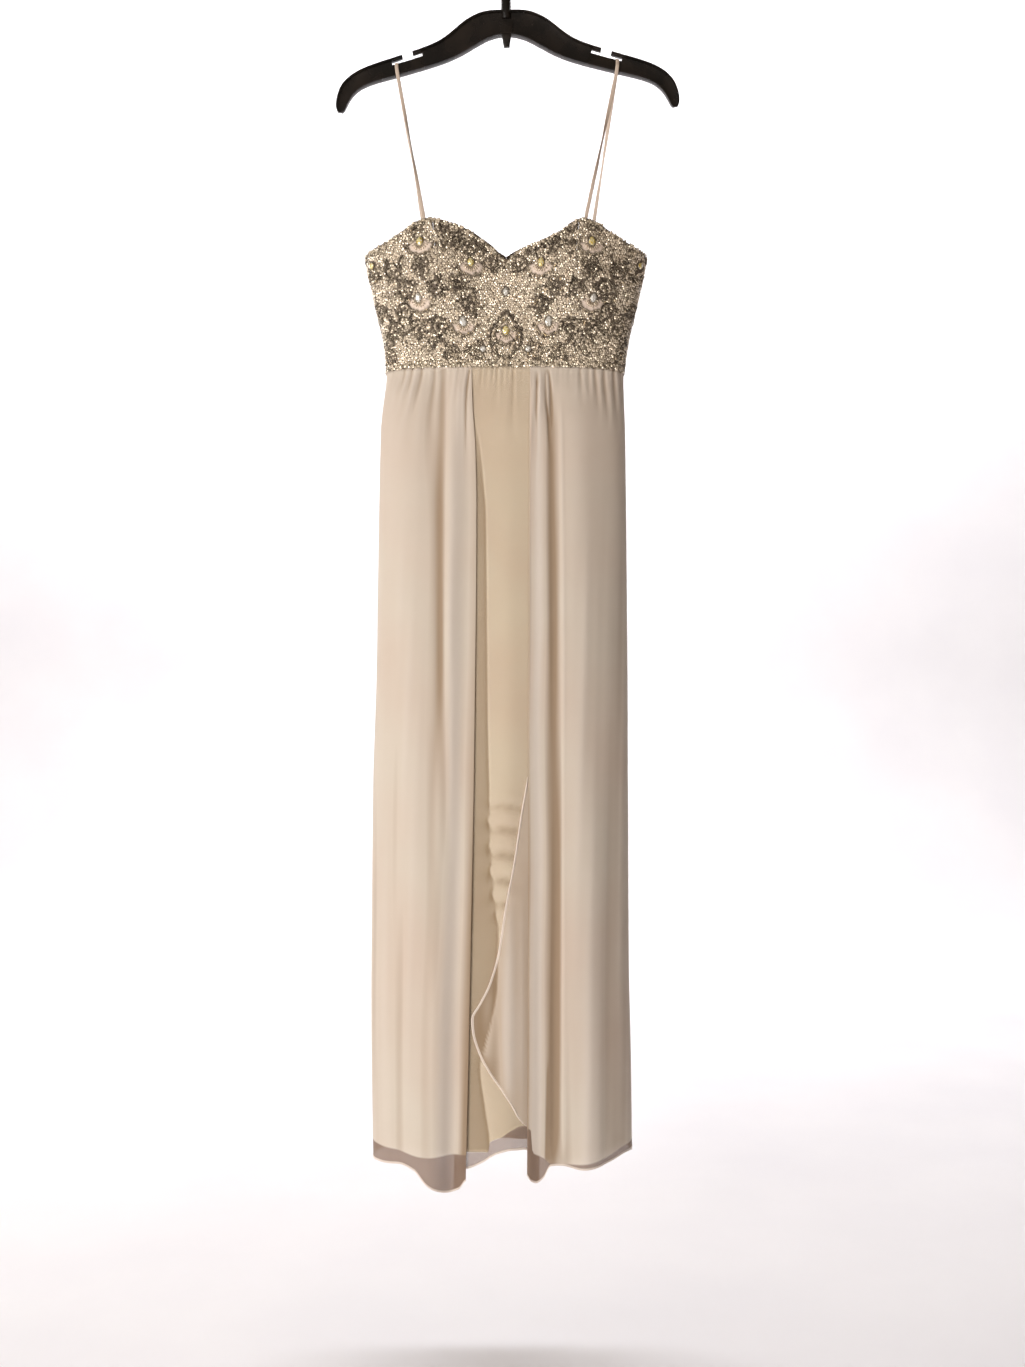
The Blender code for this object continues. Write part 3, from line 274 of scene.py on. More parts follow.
@dataclass
class Layers:
    """How far each layer of the dress stands outside the form, folds and cups included."""

    form: DressForm
    bodice_rise: float = 6.0
    overskirt_rise: float = 5.6
    cascade_rise: float = 1.6
    root_left: float = 2.6
    root_centre: float = 5.2
    root_right: float = 1.4
    root_back: float = 2.8
    front_folds: Sequence[Sequence[float]] = (
        (-64, -80, 19, 2, 14), (-142, -112, 28, 5, 8), (-156, -160, 15, 1, 4), (44, 41, 11, 3, 11),
        (95, 112, 27, 3, 13),
    )
    back_folds: Sequence[Sequence[float]] = (
        (-142, -148, 14, 1, 9), (-96, -100, 17, 2, 14), (-44, -48, 16, 2, 12), (40, 44, 16, 2, 13),
        (90, 96, 17, 2, 14), (140, 148, 14, 1, 9),
    )
    lining_fold: Sequence[float] = (4, 6, 22, 0, 7)
    fold_growth: float = 0.7
    cup: Sequence[float] = (92.0, -484.0, 15.0, 52.0, 56.0)
    neckline_rows: Sequence[Sequence[float]] = (
        (0.000, -469.0, -469.0), (0.035, -450.0, -453.0), (0.075, -436.7, -445.0), (0.125, -423.5, -436.5),
        (0.170, -415.5, -427.0), (0.210, -409.5, -413.5), (0.245, -407.0, -407.0), (0.290, -411.0, -411.0),
        (0.335, -423.0, -423.0), (0.420, -439.0, -439.0), (0.500, -446.0, -446.0), (0.580, -441.0, -441.0),
        (0.700, -425.0, -425.0), (0.850, -419.0, -419.0), (0.960, -419.0, -419.0), (1.000, -428.0, -428.0),
    )

    def __post_init__(self) -> None:
        """Makes the neckline's two curves."""
        self._left, self._right = SmoothTable(self.neckline_rows, 1), SmoothTable(self.neckline_rows, 2)

    def fold(self, fold: Sequence[float], x: Array, z: Array) -> Array:
        """Height of one long fold: it starts at the waist and grows to the hem.

        Args:
            fold: Its x at the waist and at the hem, its width, and its height at the waist and at the hem.
            x: Places across the dress.
            z: Heights.

        Returns:
            How far the fold lifts the cloth at each place.
        """
        top_x, hem_x, width, top, hem = fold
        down = np.clip((WAIST_Z - z) / (WAIST_Z - HEM_Z), 0.0, 1.0)
        height = top + (hem - top) * down**self.fold_growth
        return height * bell(x - (top_x + (hem_x - top_x) * down), width) * ease((WAIST_Z - z) / 40)

    def lining(self, share: Array, z: Array) -> Array:
        """Face of the lining: all layers meet at the waist seam, and it folds softly below.

        Args:
            share: Shares of the way round.
            z: Heights.

        Returns:
            How far outside the form it stands at each place.
        """
        x, y = self.form.spot(share, z)
        near_waist = ease(1 - (WAIST_Z - z) / 160)
        side = np.where(x < 0, self.root_left, self.root_right)
        back = (side + (self.root_back - side) * ease(y / 20)) * near_waist
        centre = ease((x + 52) / 4) * ease((38 - x) / 4)
        front = (side + (self.root_centre - side) * centre) * near_waist + self.fold(self.lining_fold, x, z)
        return np.where(y > 0, back, front)

    def overskirt(self, share: Array, z: Array, wander: Array = 0.0) -> Array:
        """Face of the overskirt with its long folds.

        Args:
            share: Shares of the way round.
            z: Heights.
            wander: How far sideways the folds stray.

        Returns:
            How far outside the form it stands at each place.
        """
        x, y = self.form.spot(share, z)
        moved = x + wander
        front = sum(self.fold(fold, moved, z) for fold in self.front_folds)
        back = sum(self.fold(fold, moved, z) for fold in self.back_folds)
        lifted = np.where(y < 0, front, back) * ease(np.abs(y) / 30)
        return self.overskirt_rise + lifted + np.where(y < 0, self.fold(self.lining_fold, x, z), 0.0)

    def cascade(self, share: Array, z: Array) -> Array:
        """Face of the panel that lies on the lining, one layer up."""
        return self.lining(share, z) + self.cascade_rise + ease((WAIST_Z - z) / 200) * 0.6

    def bodice(self, share: Array, z: Array) -> Array:
        """Face of the bodice, swollen by the cups in front.

        Args:
            share: Shares of the way round.
            z: Heights.

        Returns:
            How far outside the form it stands at each place.
        """
        x, y = self.form.spot(share, z)
        cup_x, cup_z, swell, width, height = self.cup
        swelled = swell * bell(np.abs(x) - cup_x, width) * bell(z - cup_z, height)
        return self.bodice_rise + swelled * ease(-y / 30)

    def neckline(self, share: Array) -> Array:
        """Height of the bodice's top edge; the cup on the viewer's right hangs lower."""
        share = (np.asarray(share) + 1) % 2 - 1
        return np.where(share > 0, self._right(np.abs(share)), self._left(np.abs(share)))


# ---------------------------------------------------------------- meshes


def blurred(values: Array, sigma: float) -> Array:
    """Smooths values along each row.

    Args:
        values: The values, rows by columns.
        sigma: Reach of the smoothing, in columns.

    Returns:
        The smoothed values.
    """
    reach = max(1, int(3 * sigma))
    kernel = np.exp(-0.5 * (np.arange(-reach, reach + 1) / sigma) ** 2)
    kernel /= kernel.sum()
    padded = np.pad(values, ((0, 0), (reach, reach)), mode="edge")
    return np.stack([np.convolve(row, kernel, "valid") for row in padded])


def painted_fold_shade(offset: Array, spacing: float) -> Array:
    """Marks painted shade between folds: a valley is painted darker and a ridge lighter.

    Args:
        offset: How far out the cloth stands, rows by columns.
        spacing: Distance between columns, mm.

    Returns:
        About 1 in a deep valley, -1 on a ridge and 0 between.
    """
    fine = blurred(offset, 4.0 / spacing) - offset
    broad = blurred(offset, 16.0 / spacing) - blurred(offset, 2.0 / spacing)
    return np.clip(fine / 0.9 * 0.5 + broad / 4.5, -1.0, 1.0)


def set_numbers(mesh: Mesh, name: str, values: Array) -> None:
    """Stores one number a point as a named attribute."""
    mesh.attributes.new(name, "FLOAT", "POINT").data.foreach_set("value", np.asarray(values, np.float32).ravel())


def mesh_of(maker: bmesh.types.BMesh, name: str) -> Mesh:
    """Turns built faces into a mesh and frees them.

    Args:
        maker: The faces.
        name: Name of the mesh.

    Returns:
        The mesh.
    """
    mesh = bpy.data.meshes.new(name)
    maker.to_mesh(mesh)
    maker.free()
    return mesh


def in_scene(name: str, data: bpy.types.ID) -> Piece:
    """Puts a mesh, lamp or lens in the scene as an object."""
    piece = bpy.data.objects.new(name, data)
    bpy.context.scene.collection.objects.link(piece)
    return piece


@dataclass
class ClothSheet:
    """Thin closed sheet of cloth over a grid of points, from the top row down and along rising share."""

    points: Array
    thickness: float
    swell: Array | float = 0.0
    closed: bool = False
    marks: dict[str, Array] = field(default_factory=dict)
    two_faced: bool = False

    def normals(self) -> Array:
        """Finds which way is outward.

        Returns:
            The outward direction at every point of the grid.
        """
        if self.closed:
            across = np.roll(self.points, -1, axis=1) - np.roll(self.points, 1, axis=1)
        else:
            across = np.gradient(self.points, axis=1)
        out = np.cross(across, -np.gradient(self.points, axis=0))
        return out / np.maximum(np.linalg.norm(out, axis=2, keepdims=True), 1e-9)

    def pattern(self) -> Array:
        """Lays the cloth flat.

        Returns:
            Flat position of each grid point in metres, with one more column where the sheet is a tube.
        """
        grid = np.concatenate([self.points, self.points[:, :1]], axis=1) if self.closed else self.points
        widest = grid[int(len(grid) * 0.8)]
        across = np.concatenate([[0.0], np.cumsum(np.linalg.norm(np.diff(widest, axis=0), axis=1))])
        middle = grid[:, grid.shape[1] // 2]
        down = np.concatenate([[0.0], np.cumsum(np.linalg.norm(np.diff(middle, axis=0), axis=1))])
        return np.stack(np.broadcast_arrays(across[None, :], -down[:, None]), axis=-1) * MM

    def mesh(self, name: str) -> Mesh:
        """Builds the outer wall, the inner wall and the rims.

        Args:
            name: Name of the mesh.

        Returns:
            A closed mesh with a UV map in metres; its inner faces take the second material if two-faced.
        """
        rows, columns = self.points.shape[:2]
        swell = np.broadcast_to(np.asarray(self.swell, float), (rows, columns))[..., None]
        normals = self.normals()
        outer = self.points + normals * swell
        inner = self.points - normals * (self.thickness + swell)
        count = rows * columns
        index = np.arange(count).reshape(rows, columns)

        faces, corner_rows, corner_columns, wall = [], [], [], []

        def quads(corners: list[tuple[Array, Array, int]], material: int) -> None:
            """Adds quads.

            Args:
                corners: For each corner, its rows, its columns and its wall.
                material: Material of the quads.
            """
            flat = [(r.ravel(), c.ravel(), w) for r, c, w in corners]
            faces.append(np.stack([index[r, c % columns] + w * count for r, c, w in flat], axis=1))
            corner_rows.append(np.stack([r for r, _, _ in flat], axis=1))
            corner_columns.append(np.stack([c for _, c, _ in flat], axis=1))
            wall.append(np.full(len(flat[0][0]), material))

        across = np.arange(columns if self.closed else columns - 1)
        i, j = np.meshgrid(np.arange(rows - 1), across, indexing="ij")
        inside = 1 if self.two_faced else 0
        quads([(i, j, 0), (i + 1, j, 0), (i + 1, j + 1, 0), (i, j + 1, 0)], 0)
        quads([(i, j + 1, 1), (i + 1, j + 1, 1), (i + 1, j, 1), (i, j, 1)], inside)
        top, foot = np.zeros_like(across), np.full_like(across, rows - 1)
        quads([(top, across + 1, 0), (top, across + 1, 1), (top, across, 1), (top, across, 0)], 0)
        quads([(foot, across, 0), (foot, across, 1), (foot, across + 1, 1), (foot, across + 1, 0)], 0)
        if not self.closed:
            down = np.arange(rows - 1)
            left, right = np.zeros_like(down), np.full_like(down, columns - 1)
            quads([(down, left, 0), (down, left, 1), (down + 1, left, 1), (down + 1, left, 0)], 0)
            quads([(down + 1, right, 0), (down + 1, right, 1), (down, right, 1), (down, right, 0)], 0)

        mesh = bpy.data.meshes.new(name)
        points = np.concatenate([outer.reshape(-1, 3), inner.reshape(-1, 3)]) * MM
        mesh.from_pydata(points.tolist(), [], np.concatenate(faces).tolist())
        mesh.polygons.foreach_set("use_smooth", np.ones(len(mesh.polygons), bool))
        mesh.polygons.foreach_set("material_index", np.concatenate(wall).astype(np.int32))
        flat = self.pattern()[np.concatenate(corner_rows).ravel(), np.concatenate(corner_columns).ravel()]
        mesh.uv_layers.new(name="cloth").data.foreach_set("uv", flat.astype(np.float32).ravel())
        for mark, values in self.marks.items():
            values = np.broadcast_to(values, (rows, columns))
            set_numbers(mesh, mark, np.concatenate([values.ravel(), values.ravel()]))
        return mesh


def area_of(piece: Piece) -> float:
    """Cloth area of a closed thin sheet, half its surface, in square metres."""
    return sum(face.area for face in piece.data.polygons) / 2


def hand_over(
    name: str,
    mesh: Mesh,
    finishes: Sequence[Material],
    nodes: Sequence[str],
    body: Body = Body.DRESS,
) -> Piece:
    """Turns a finished mesh into a piece of the frame.

    Args:
        name: Name of the piece.
        mesh: Its mesh, in place and in metres.
        finishes: Its materials in the order of the mesh's material numbers.
        nodes: CAD nodes that the piece stands for.
        body: The body that it rides on.

    Returns:
        The piece.
    """
    mesh.materials.clear()
    for finish in finishes:
        mesh.materials.append(finish)
    piece = in_scene(name, mesh)
    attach(piece, body.value)
    if nodes:
        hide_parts(*nodes)
    LOG.info("%-26s %7d faces", name, len(mesh.polygons))
    return piece


def smooth_path(points: Sequence[Vector], step: float) -> list[Vector]:
    """Even points on a smooth curve through others.

    Args:
        points: Points that the curve passes through, mm.
        step: Distance between the new points, mm.

    Returns:
        The new points, with both ends kept.
    """
    line = [points[0] * 2 - points[1], *points, points[-1] * 2 - points[-2]]
    fine: list[Vector] = []
    for a, b, c, d in zip(line, line[1:], line[2:], line[3:]):
        ta = max((b - a).length, 1e-6) ** 0.5
        tb = max((c - b).length, 1e-6) ** 0.5
        tc = max((d - c).length, 1e-6) ** 0.5
        leave = (c - b) + ((b - a) / ta - (c - a) / (ta + tb)) * tb
        enter = (c - b) + ((d - c) / tc - (d - b) / (tb + tc)) * tb
        for k in range(12):
            t = k / 12
            fine.append(
                b * (2 * t**3 - 3 * t**2 + 1)
                + leave * (t**3 - 2 * t**2 + t)
                + c * (3 * t**2 - 2 * t**3)
                + enter * (t**3 - t**2)
            )
    fine.append(line[-2])
    walked = np.concatenate([[0.0], np.cumsum([(q - p).length for p, q in zip(fine, fine[1:])])])
    count = max(2, round(walked[-1] / step))
    wanted = np.linspace(0, walked[-1], count + 1)
    parts = [np.interp(wanted, walked, [p[k] for p in fine]) for k in range(3)]
    return [Vector(p) for p in zip(*parts)]


def lofted(name: str, rings: Sequence[Sequence[Vector]], smooth: bool = True) -> Mesh:
    """Closed skin through rings of points, with a face over each end.

    Args:
        name: Name of the mesh.
        rings: Rings of equal length, mm.
        smooth: Whether the skin is shaded smoothly.

    Returns:
        The mesh, its faces outward, with a UV map of metres round and along it.
    """
    maker = bmesh.new()
    flat = maker.loops.layers.uv.new("cloth")
    skin = [[maker.verts.new(point * MM) for point in ring] for ring in rings]
    walked = 0.0
    for i, (near, far) in enumerate(zip(skin, skin[1:])):
        run = (rings[i + 1][0] - rings[i][0]).length
        around = 0.0
        for k in range(len(near)):
            m = (k + 1) % len(near)
            face = maker.faces.new((near[k], near[m], far[m], far[k]))
            side = (rings[i][m] - rings[i][k]).length
            far_side, far_end = around + side, walked + run
            corners = ((around, walked), (far_side, walked), (far_side, far_end), (around, far_end))
            for loop, (u, v) in zip(face.loops, corners):
                loop[flat].uv = (u * MM, v * MM)
            around += side
        walked += run
    maker.faces.new(skin[0])
    maker.faces.new(skin[-1])
    bmesh.ops.recalc_face_normals(maker, faces=maker.faces)
    for face in maker.faces:
        face.smooth = smooth
    return mesh_of(maker, name)


def tube_rings(path: Sequence[Vector], radii: Sequence[float], sides: int) -> list[list[Vector]]:
    """Rings of points round a path.

    Args:
        path: Middle line, mm.
        radii: Radius at each of its points, mm.
        sides: Points in a ring.

    Returns:
        One ring for each point of the path.
    """
    rings = []
    up = Vector((0, 1, 0))
    for i, (here, radius) in enumerate(zip(path, radii)):
        run = (path[min(i + 1, len(path) - 1)] - path[max(i - 1, 0)]).normalized()
        side = run.cross(up).normalized()
        up = side.cross(run).normalized()
        turns = [2 * math.pi * k / sides for k in range(sides)]
        rings.append([here + (side * math.cos(a) + up * math.sin(a)) * radius for a in turns])
    return rings


# ---------------------------------------------------------------- finishes


def linear(code: str) -> tuple[float, float, float, float]:
    """Linear colour of an sRGB hex value."""
    parts = [int(code[k : k + 2], 16) / 255 for k in (1, 3, 5)]
    return (*(p / 12.92 if p <= 0.04045 else ((p + 0.055) / 1.055) ** 2.4 for p in parts), 1.0)


def feed(tree: Tree, node: Node, inputs: dict) -> None:
    """Sets or links inputs of a node.

    Args:
        tree: The node's tree.
        node: The node.
        inputs: Input name or number, with a value, an sRGB hex colour, or the socket or node that feeds it.
            A node feeds by its main output.
    """
    main_outputs = {"ShaderNodeAttribute": "Fac", "ShaderNodeTexWave": "Fac", "ShaderNodeTexCoord": "Object"}
    for key, value in inputs.items():
        if isinstance(value, Node):
            colour_mix = getattr(value, "data_type", "") == "RGBA"
            value = value.outputs[main_outputs.get(value.bl_idname, 2 if colour_mix else 0)]
        if isinstance(value, bpy.types.NodeSocket):
            tree.links.new(value, node.inputs[key])
        else:
            coded = isinstance(value, str) and value.startswith("#")
            node.inputs[key].default_value = linear(value) if coded else value


def add_node(
    tree: Tree,
    kind: str,
    inputs: dict | None = None,
    stops: Sequence[tuple[float, str]] = (),
    **settings: object,
) -> Node:
    """Adds a node with its settings and links.

    Args:
        tree: The tree that it goes in.
        kind: Type of the node.
        inputs: Its inputs, as feed() takes them.
        stops: Places and sRGB colours of a colour ramp.
        **settings: Properties of the node.

    Returns:
        The node.
    """
    node = tree.nodes.new(kind)
    for name, value in settings.items():
        setattr(node, name, value)
    feed(tree, node, inputs or {})
    for k, (place, code) in enumerate(stops):
        elements = node.color_ramp.elements
        element = elements[k] if k < 2 else elements.new(place)
        element.position, element.color = place, linear(code)
    return node


def new_finish(name: str) -> tuple[Material, Tree, Node]:
    """A material, its tree and its shader."""
    material = bpy.data.materials.new(name)
    material.use_nodes = True
    return material, material.node_tree, material.node_tree.nodes["Principled BSDF"]


def tinted(
    tree: Tree, ground: Node, tints: Sequence[tuple[str, float, float, float, float, str]]
) -> tuple[Node, list[Node]]:
    """Lays tints over a colour, one after another.

    Args:
        tree: The material's tree.
        ground: The colour below.
        tints: For each, the mark it reads, two readings, its cover at these and its sRGB colour.

    Returns:
        The last colour and the cover of each tint.
    """
    covers, readings = [], {}
    for mark, low, high, cover_low, cover_high, code in tints:
        if mark not in readings:
            readings[mark] = add_node(tree, "ShaderNodeAttribute", attribute_name=mark)
        ends = {"From Min": low, "From Max": high, "To Min": cover_low, "To Max": cover_high}
        covers.append(add_node(tree, "ShaderNodeMapRange", {"Value": readings[mark], **ends}))
        ground = add_node(tree, "ShaderNodeMix", {0: covers[-1], 6: ground, 7: code}, data_type="RGBA")
    return ground, covers


def grained(
    tree: Tree, shader: Node, pattern: Node, relief_mm: float, strength: float, rough: Sequence[float] = ()
) -> None:
    """Raises a pattern on a finish.

    Args:
        tree: The material's tree.
        shader: Its shader.
        pattern: The pattern.
        relief_mm: Its height.
        strength: How much of the height shows.
        rough: Roughness in the low and the high places, where it follows the pattern.
    """
    relief = add_node(tree, "ShaderNodeBump", {"Height": pattern, "Distance": relief_mm * MM, "Strength": strength})
    feed(tree, shader, {"Normal": relief})
    if rough:
        ends = {"To Min": rough[0], "To Max": rough[1]}
        feed(tree, shader, {"Roughness": add_node(tree, "ShaderNodeMapRange", {"Value": pattern, **ends})})


@dataclass(frozen=True)
class CrepeChiffon:
    """Polyester crepe chiffon, piece dyed: twisted yarns make it matt and grainy, and it is partly see-through."""

    name: str = "polyester crepe chiffon"
    face: str = "#e2d8ca"
    warm: str = "#dfcfc0"
    # deep is painted shade in the valleys between folds, ridge a painted highlight on their crests
    deep: str = "#a2886c"
    ridge: str = "#ebe1d7"
    # hem: the rolled hem is lighter for its thicker cloth, and partly a painted highlight
    hem: str = "#f2e6dc"
    # band_shade: painted shade for the dark inside of the skirt seen through the clear cloth below the lining
    band_shade: str = "#9b8372"
    cover: float = 0.8
    band_cover: float = 0.66
    hem_cover: float = 0.96
    grain_mm: float = 1.3
    cloud_mm: float = 210.0

    def make(self) -> Material:
        """Builds the material; each wall of the thin sheet covers only part of what lies behind it.

        Returns:
            The material.
        """
        material, tree, shader = new_finish(self.name)
        place = add_node(tree, "ShaderNodeUVMap", uv_map="cloth")
        cloud_size = {"Scale": 1 / (self.cloud_mm * MM), "Detail": 2.0, "Roughness": 0.5}
        clouds = add_node(tree, "ShaderNodeTexNoise", {"Vector": place, **cloud_size})
        shift = add_node(tree, "ShaderNodeMapRange", {"Value": clouds, "From Min": 0.3, "From Max": 0.7})
        dyed = add_node(tree, "ShaderNodeMix", {0: shift, 6: self.face, 7: self.warm}, data_type="RGBA")
        # Where no lining lies behind, the cloth is clearer down to its rolled hem, and painted darker there for the
        # shade seen through it
        tints = (
            ("painted_shade", 0.1, 0.9, 0.0, 0.85, self.deep),
            ("painted_shade", -0.1, -0.9, 0.0, 0.7, self.ridge),
            ("below_line", -1.2, 1.2, 0.0, 1.0, self.band_shade),
            ("from_hem", 2.0, 3.4, 0.85, 0.0, self.hem),
        )
        colour, (_, _, sheer, edge) = tinted(tree, dyed, tints)
        cover = add_node(tree, "ShaderNodeMix", {0: sheer, 2: self.cover, 3: self.band_cover})
        closed = add_node(tree, "ShaderNodeMix", {0: edge, 2: cover, 3: self.hem_cover})
        # Real crepe grain is about 0.3 mm; it is drawn at 1.3 mm so that it shows in a view of the whole dress
        grain_size = {"Scale": 1 / (self.grain_mm * MM), "Detail": 3.0, "Roughness": 0.6}
        grain = add_node(tree, "ShaderNodeTexNoise", {"Vector": place, **grain_size})
        grained(tree, shader, grain, 0.25, 0.35, (0.74, 0.92))
        feed(tree, shader, {"Base Color": colour, "Alpha": closed})
        feed(tree, shader, {"Specular IOR Level": 0.25, "Sheen Weight": 0.12, "Sheen Roughness": 0.5})
        return material


@dataclass(frozen=True)
class LiningSatin:
    """Acetate satin lining, woven smooth: a soft golden glow down the folds, with painted shade in the valleys."""

    name: str = "acetate lining satin"
    face: str = "#e7ddcb"
    warm: str = "#e3d4c2"
    # deep: painted shade in the valleys, in the shadow of the overskirt's free edge and between the puffs
    deep: str = "#a2886a"
    hem: str = "#ecdfc8"
    streak_mm: float = 1.5

    def make(self) -> Material:
        """Builds the material.

        Returns:
            The material.
        """
        material, tree, shader = new_finish(self.name)
        place = add_node(tree, "ShaderNodeUVMap", uv_map="cloth")
        cloud_size = {"Scale": 9.0, "Detail": 2.0, "Roughness": 0.5}
        clouds = add_node(tree, "ShaderNodeTexNoise", {"Vector": place, **cloud_size})
        shift = add_node(tree, "ShaderNodeMapRange", {"Value": clouds, "From Min": 0.35, "From Max": 0.65})
        dyed = add_node(tree, "ShaderNodeMix", {0: shift, 6: self.face, 7: self.warm}, data_type="RGBA")
        tints = (("painted_shade", 0.0, 1.0, 0.0, 1.0, self.deep), ("from_hem", 2.4, 4.0, 0.8, 0.0, self.hem))
        colour, _ = tinted(tree, dyed, tints)
        # Warp threads are 0.15 mm apart; the streaks they leave are drawn 1.5 mm wide so that they show
        stretch = (1 / (self.streak_mm * MM), 14.0, 1.0)
        long_way = add_node(tree, "ShaderNodeMapping", {"Vector": place, "Scale": stretch})
        size = {"Scale": 1.0, "Detail": 2.0, "Roughness": 0.6}
        streak = add_node(tree, "ShaderNodeTexNoise", {"Vector": long_way, **size})
        grained(tree, shader, streak, 0.15, 0.3, (0.42, 0.6))
        feed(tree, shader, {"Base Color": colour, "Specular IOR Level": 0.35})
        return material


@dataclass(frozen=True)
class BeadedTulle:
    """Polyester tulle over blush lining: painted shade where beads crowd it, blush where it is left bare."""

    name: str = "blush tulle under beads"
    bare: str = "#ecdacb"
    shade_between_beads: str = "#5f5143"
    thread: str = "#efe2d2"
    mesh_mm: float = 2.0

    def make(self) -> Material:
        """Builds the material.

        Returns:
            The material.
        """
        material, tree, shader = new_finish(self.name)
        place = add_node(tree, "ShaderNodeUVMap", uv_map="cloth")
        # Tulle has a hole about every 1 mm; the net is drawn at 2 mm so that it shows
        size = {"Scale": 1 / (self.mesh_mm * MM), "Randomness": 0.25}
        net = add_node(tree, "ShaderNodeTexVoronoi", {"Vector": place, **size}, feature="DISTANCE_TO_EDGE")
        ends = {"From Max": 0.14, "To Min": 1.0, "To Max": 0.0}
        thread = add_node(tree, "ShaderNodeMapRange", {"Value": net, **ends})
        open_cloth = add_node(tree, "ShaderNodeAttribute", attribute_name="bare")
        # The ground is painted dark for the shade between crowded beads, and blush where the tulle is bare
        ground = add_node(tree, "ShaderNodeMix", {0: open_cloth, 6: self.shade_between_beads, 7: self.bare}, data_type="RGBA")
        pale = add_node(tree, "ShaderNodeMath", {0: thread, 1: 0.22}, operation="MULTIPLY")
        netted = add_node(tree, "ShaderNodeMix", {0: pale, 6: ground, 7: self.thread}, data_type="RGBA")
        grained(tree, shader, thread, 0.2, 0.5, (0.75, 0.5))
        feed(tree, shader, {"Base Color": netted})
        return material


@dataclass(frozen=True)
class BeadFinish:
    """Beads and sequins whose tint runs from dark plated metal through silver to pearl cream and gold."""

    name: str
    metallic: float
    roughness: float
    wear_per_metre: float = 420.0
    stops: tuple[tuple[float, str], ...] = (
        (0.0, "#463c30"),
        (1.0, "#ead4a8"),
        (0.2, "#857a69"),
        (0.42, "#b6aa95"),
        (0.6, "#d3c5ae"),
        (0.8, "#efe1cc"),
        (0.92, "#f3e0c7"),
    )

    def make(self) -> Material:
        """Builds the material; small differences in plating change the colour and gloss from bead to bead.

        Returns:
            The material.
        """
        material, tree, shader = new_finish(self.name)
        tint = add_node(tree, "ShaderNodeAttribute", attribute_name="tint")
        colour = add_node(tree, "ShaderNodeValToRGB", {"Fac": tint}, stops=self.stops)
        place = add_node(tree, "ShaderNodeTexCoord")
        wear = add_node(tree, "ShaderNodeTexNoise", {"Vector": place, "Scale": self.wear_per_metre, "Detail": 1.0})
        ends = {"To Min": self.roughness * 0.6, "To Max": self.roughness * 1.4}
        gloss = add_node(tree, "ShaderNodeMapRange", {"Value": wear, **ends})
        feed(tree, shader, {"Base Color": colour, "Roughness": gloss, "Metallic": self.metallic})
        feed(tree, shader, {"Coat Weight": 0.4, "Coat Roughness": 0.12})
        return material


@dataclass(frozen=True)
class FoiledGlass:
    """Pressed glass stone with a foil back: hard bright facets beside dark ones, painted as reflections."""

    name: str
    # dark, middle and light are the painted reflections of the foil
    dark: str
    middle: str
    light: str
    painted_glint: str = "#fffdf4"

    def make(self) -> Material:
        """Builds the material; each facet's tint picks a painted reflection, from dark through the foil's colour to a
        painted highlight.

        Returns:
            The material.
        """
        material, tree, shader = new_finish(self.name)
        facet = add_node(tree, "ShaderNodeAttribute", attribute_name="tint")
        stops = ((0.0, self.dark), (1.0, self.painted_glint), (0.35, self.middle), (0.8, self.light))
        colour = add_node(tree, "ShaderNodeValToRGB", {"Fac": facet}, stops=stops)
        feed(tree, shader, {"Base Color": colour, "Metallic": 0.35, "Roughness": 0.12})
        feed(tree, shader, {"Coat Weight": 1.0, "Coat Roughness": 0.02})
        return material


@dataclass(frozen=True)
class RibbonSatin:
    """Woven polyester satin ribbon: a smooth face with fine lines along it."""

    name: str = "polyester satin ribbon"
    face: str = "#e9dccf"
    shade: str = "#bea591"
    line_mm: float = 0.8

    def make(self) -> Material:
        """Builds the material.

        Returns:
            The material.
        """
        material, tree, shader = new_finish(self.name)
        place = add_node(tree, "ShaderNodeUVMap", uv_map="cloth")
        # Weft threads are 0.2 mm apart; the ribs are drawn 0.8 mm apart so that they show close up
        size = {"Scale": 0.05 / (self.line_mm * MM) * 6.28, "Distortion": 1.2, "Detail": 2.0}
        ribs = add_node(tree, "ShaderNodeTexWave", {"Vector": place, **size}, bands_direction="X")
        colour = add_node(tree, "ShaderNodeMix", {0: ribs, 6: self.shade, 7: self.face}, data_type="RGBA")
        grained(tree, shader, ribs, 0.08, 0.4, (0.48, 0.32))
        feed(tree, shader, {"Base Color": colour})
        return material


@dataclass(frozen=True)
class MouldedPlastic:
    """Injection moulded polystyrene, black-brown: an even gloss with flow marks and fine rubbing."""

    name: str = "moulded black polystyrene"
    face: str = "#0f0c0a"
    rubbed: str = "#231b15"
    roughness: float = 0.26

    def make(self) -> Material:
        """Builds the material.

        Returns:
            The material.
        """
        material, tree, shader = new_finish(self.name)
        place = add_node(tree, "ShaderNodeTexCoord")
        # Flow marks are about 40 mm long and rubbing marks about 2 mm
        size = {"Scale": 26.0, "Detail": 3.0, "Roughness": 0.55}
        flow = add_node(tree, "ShaderNodeTexNoise", {"Vector": place, **size})
        fine = add_node(tree, "ShaderNodeTexNoise", {"Vector": place, "Scale": 480.0, "Detail": 2.0})
        stops = ((0.38, self.face), (0.72, self.rubbed))
        colour = add_node(tree, "ShaderNodeValToRGB", {"Fac": flow}, stops=stops)
        ends = {"From Min": 0.3, "From Max": 0.7, "To Min": self.roughness * 0.75, "To Max": self.roughness * 1.4}
        shine = add_node(tree, "ShaderNodeMapRange", {"Value": flow, **ends})
        grained(tree, shader, fine, 0.06, 0.3)
        feed(tree, shader, {"Base Color": colour, "Roughness": shine, "Specular IOR Level": 0.35})
        return material


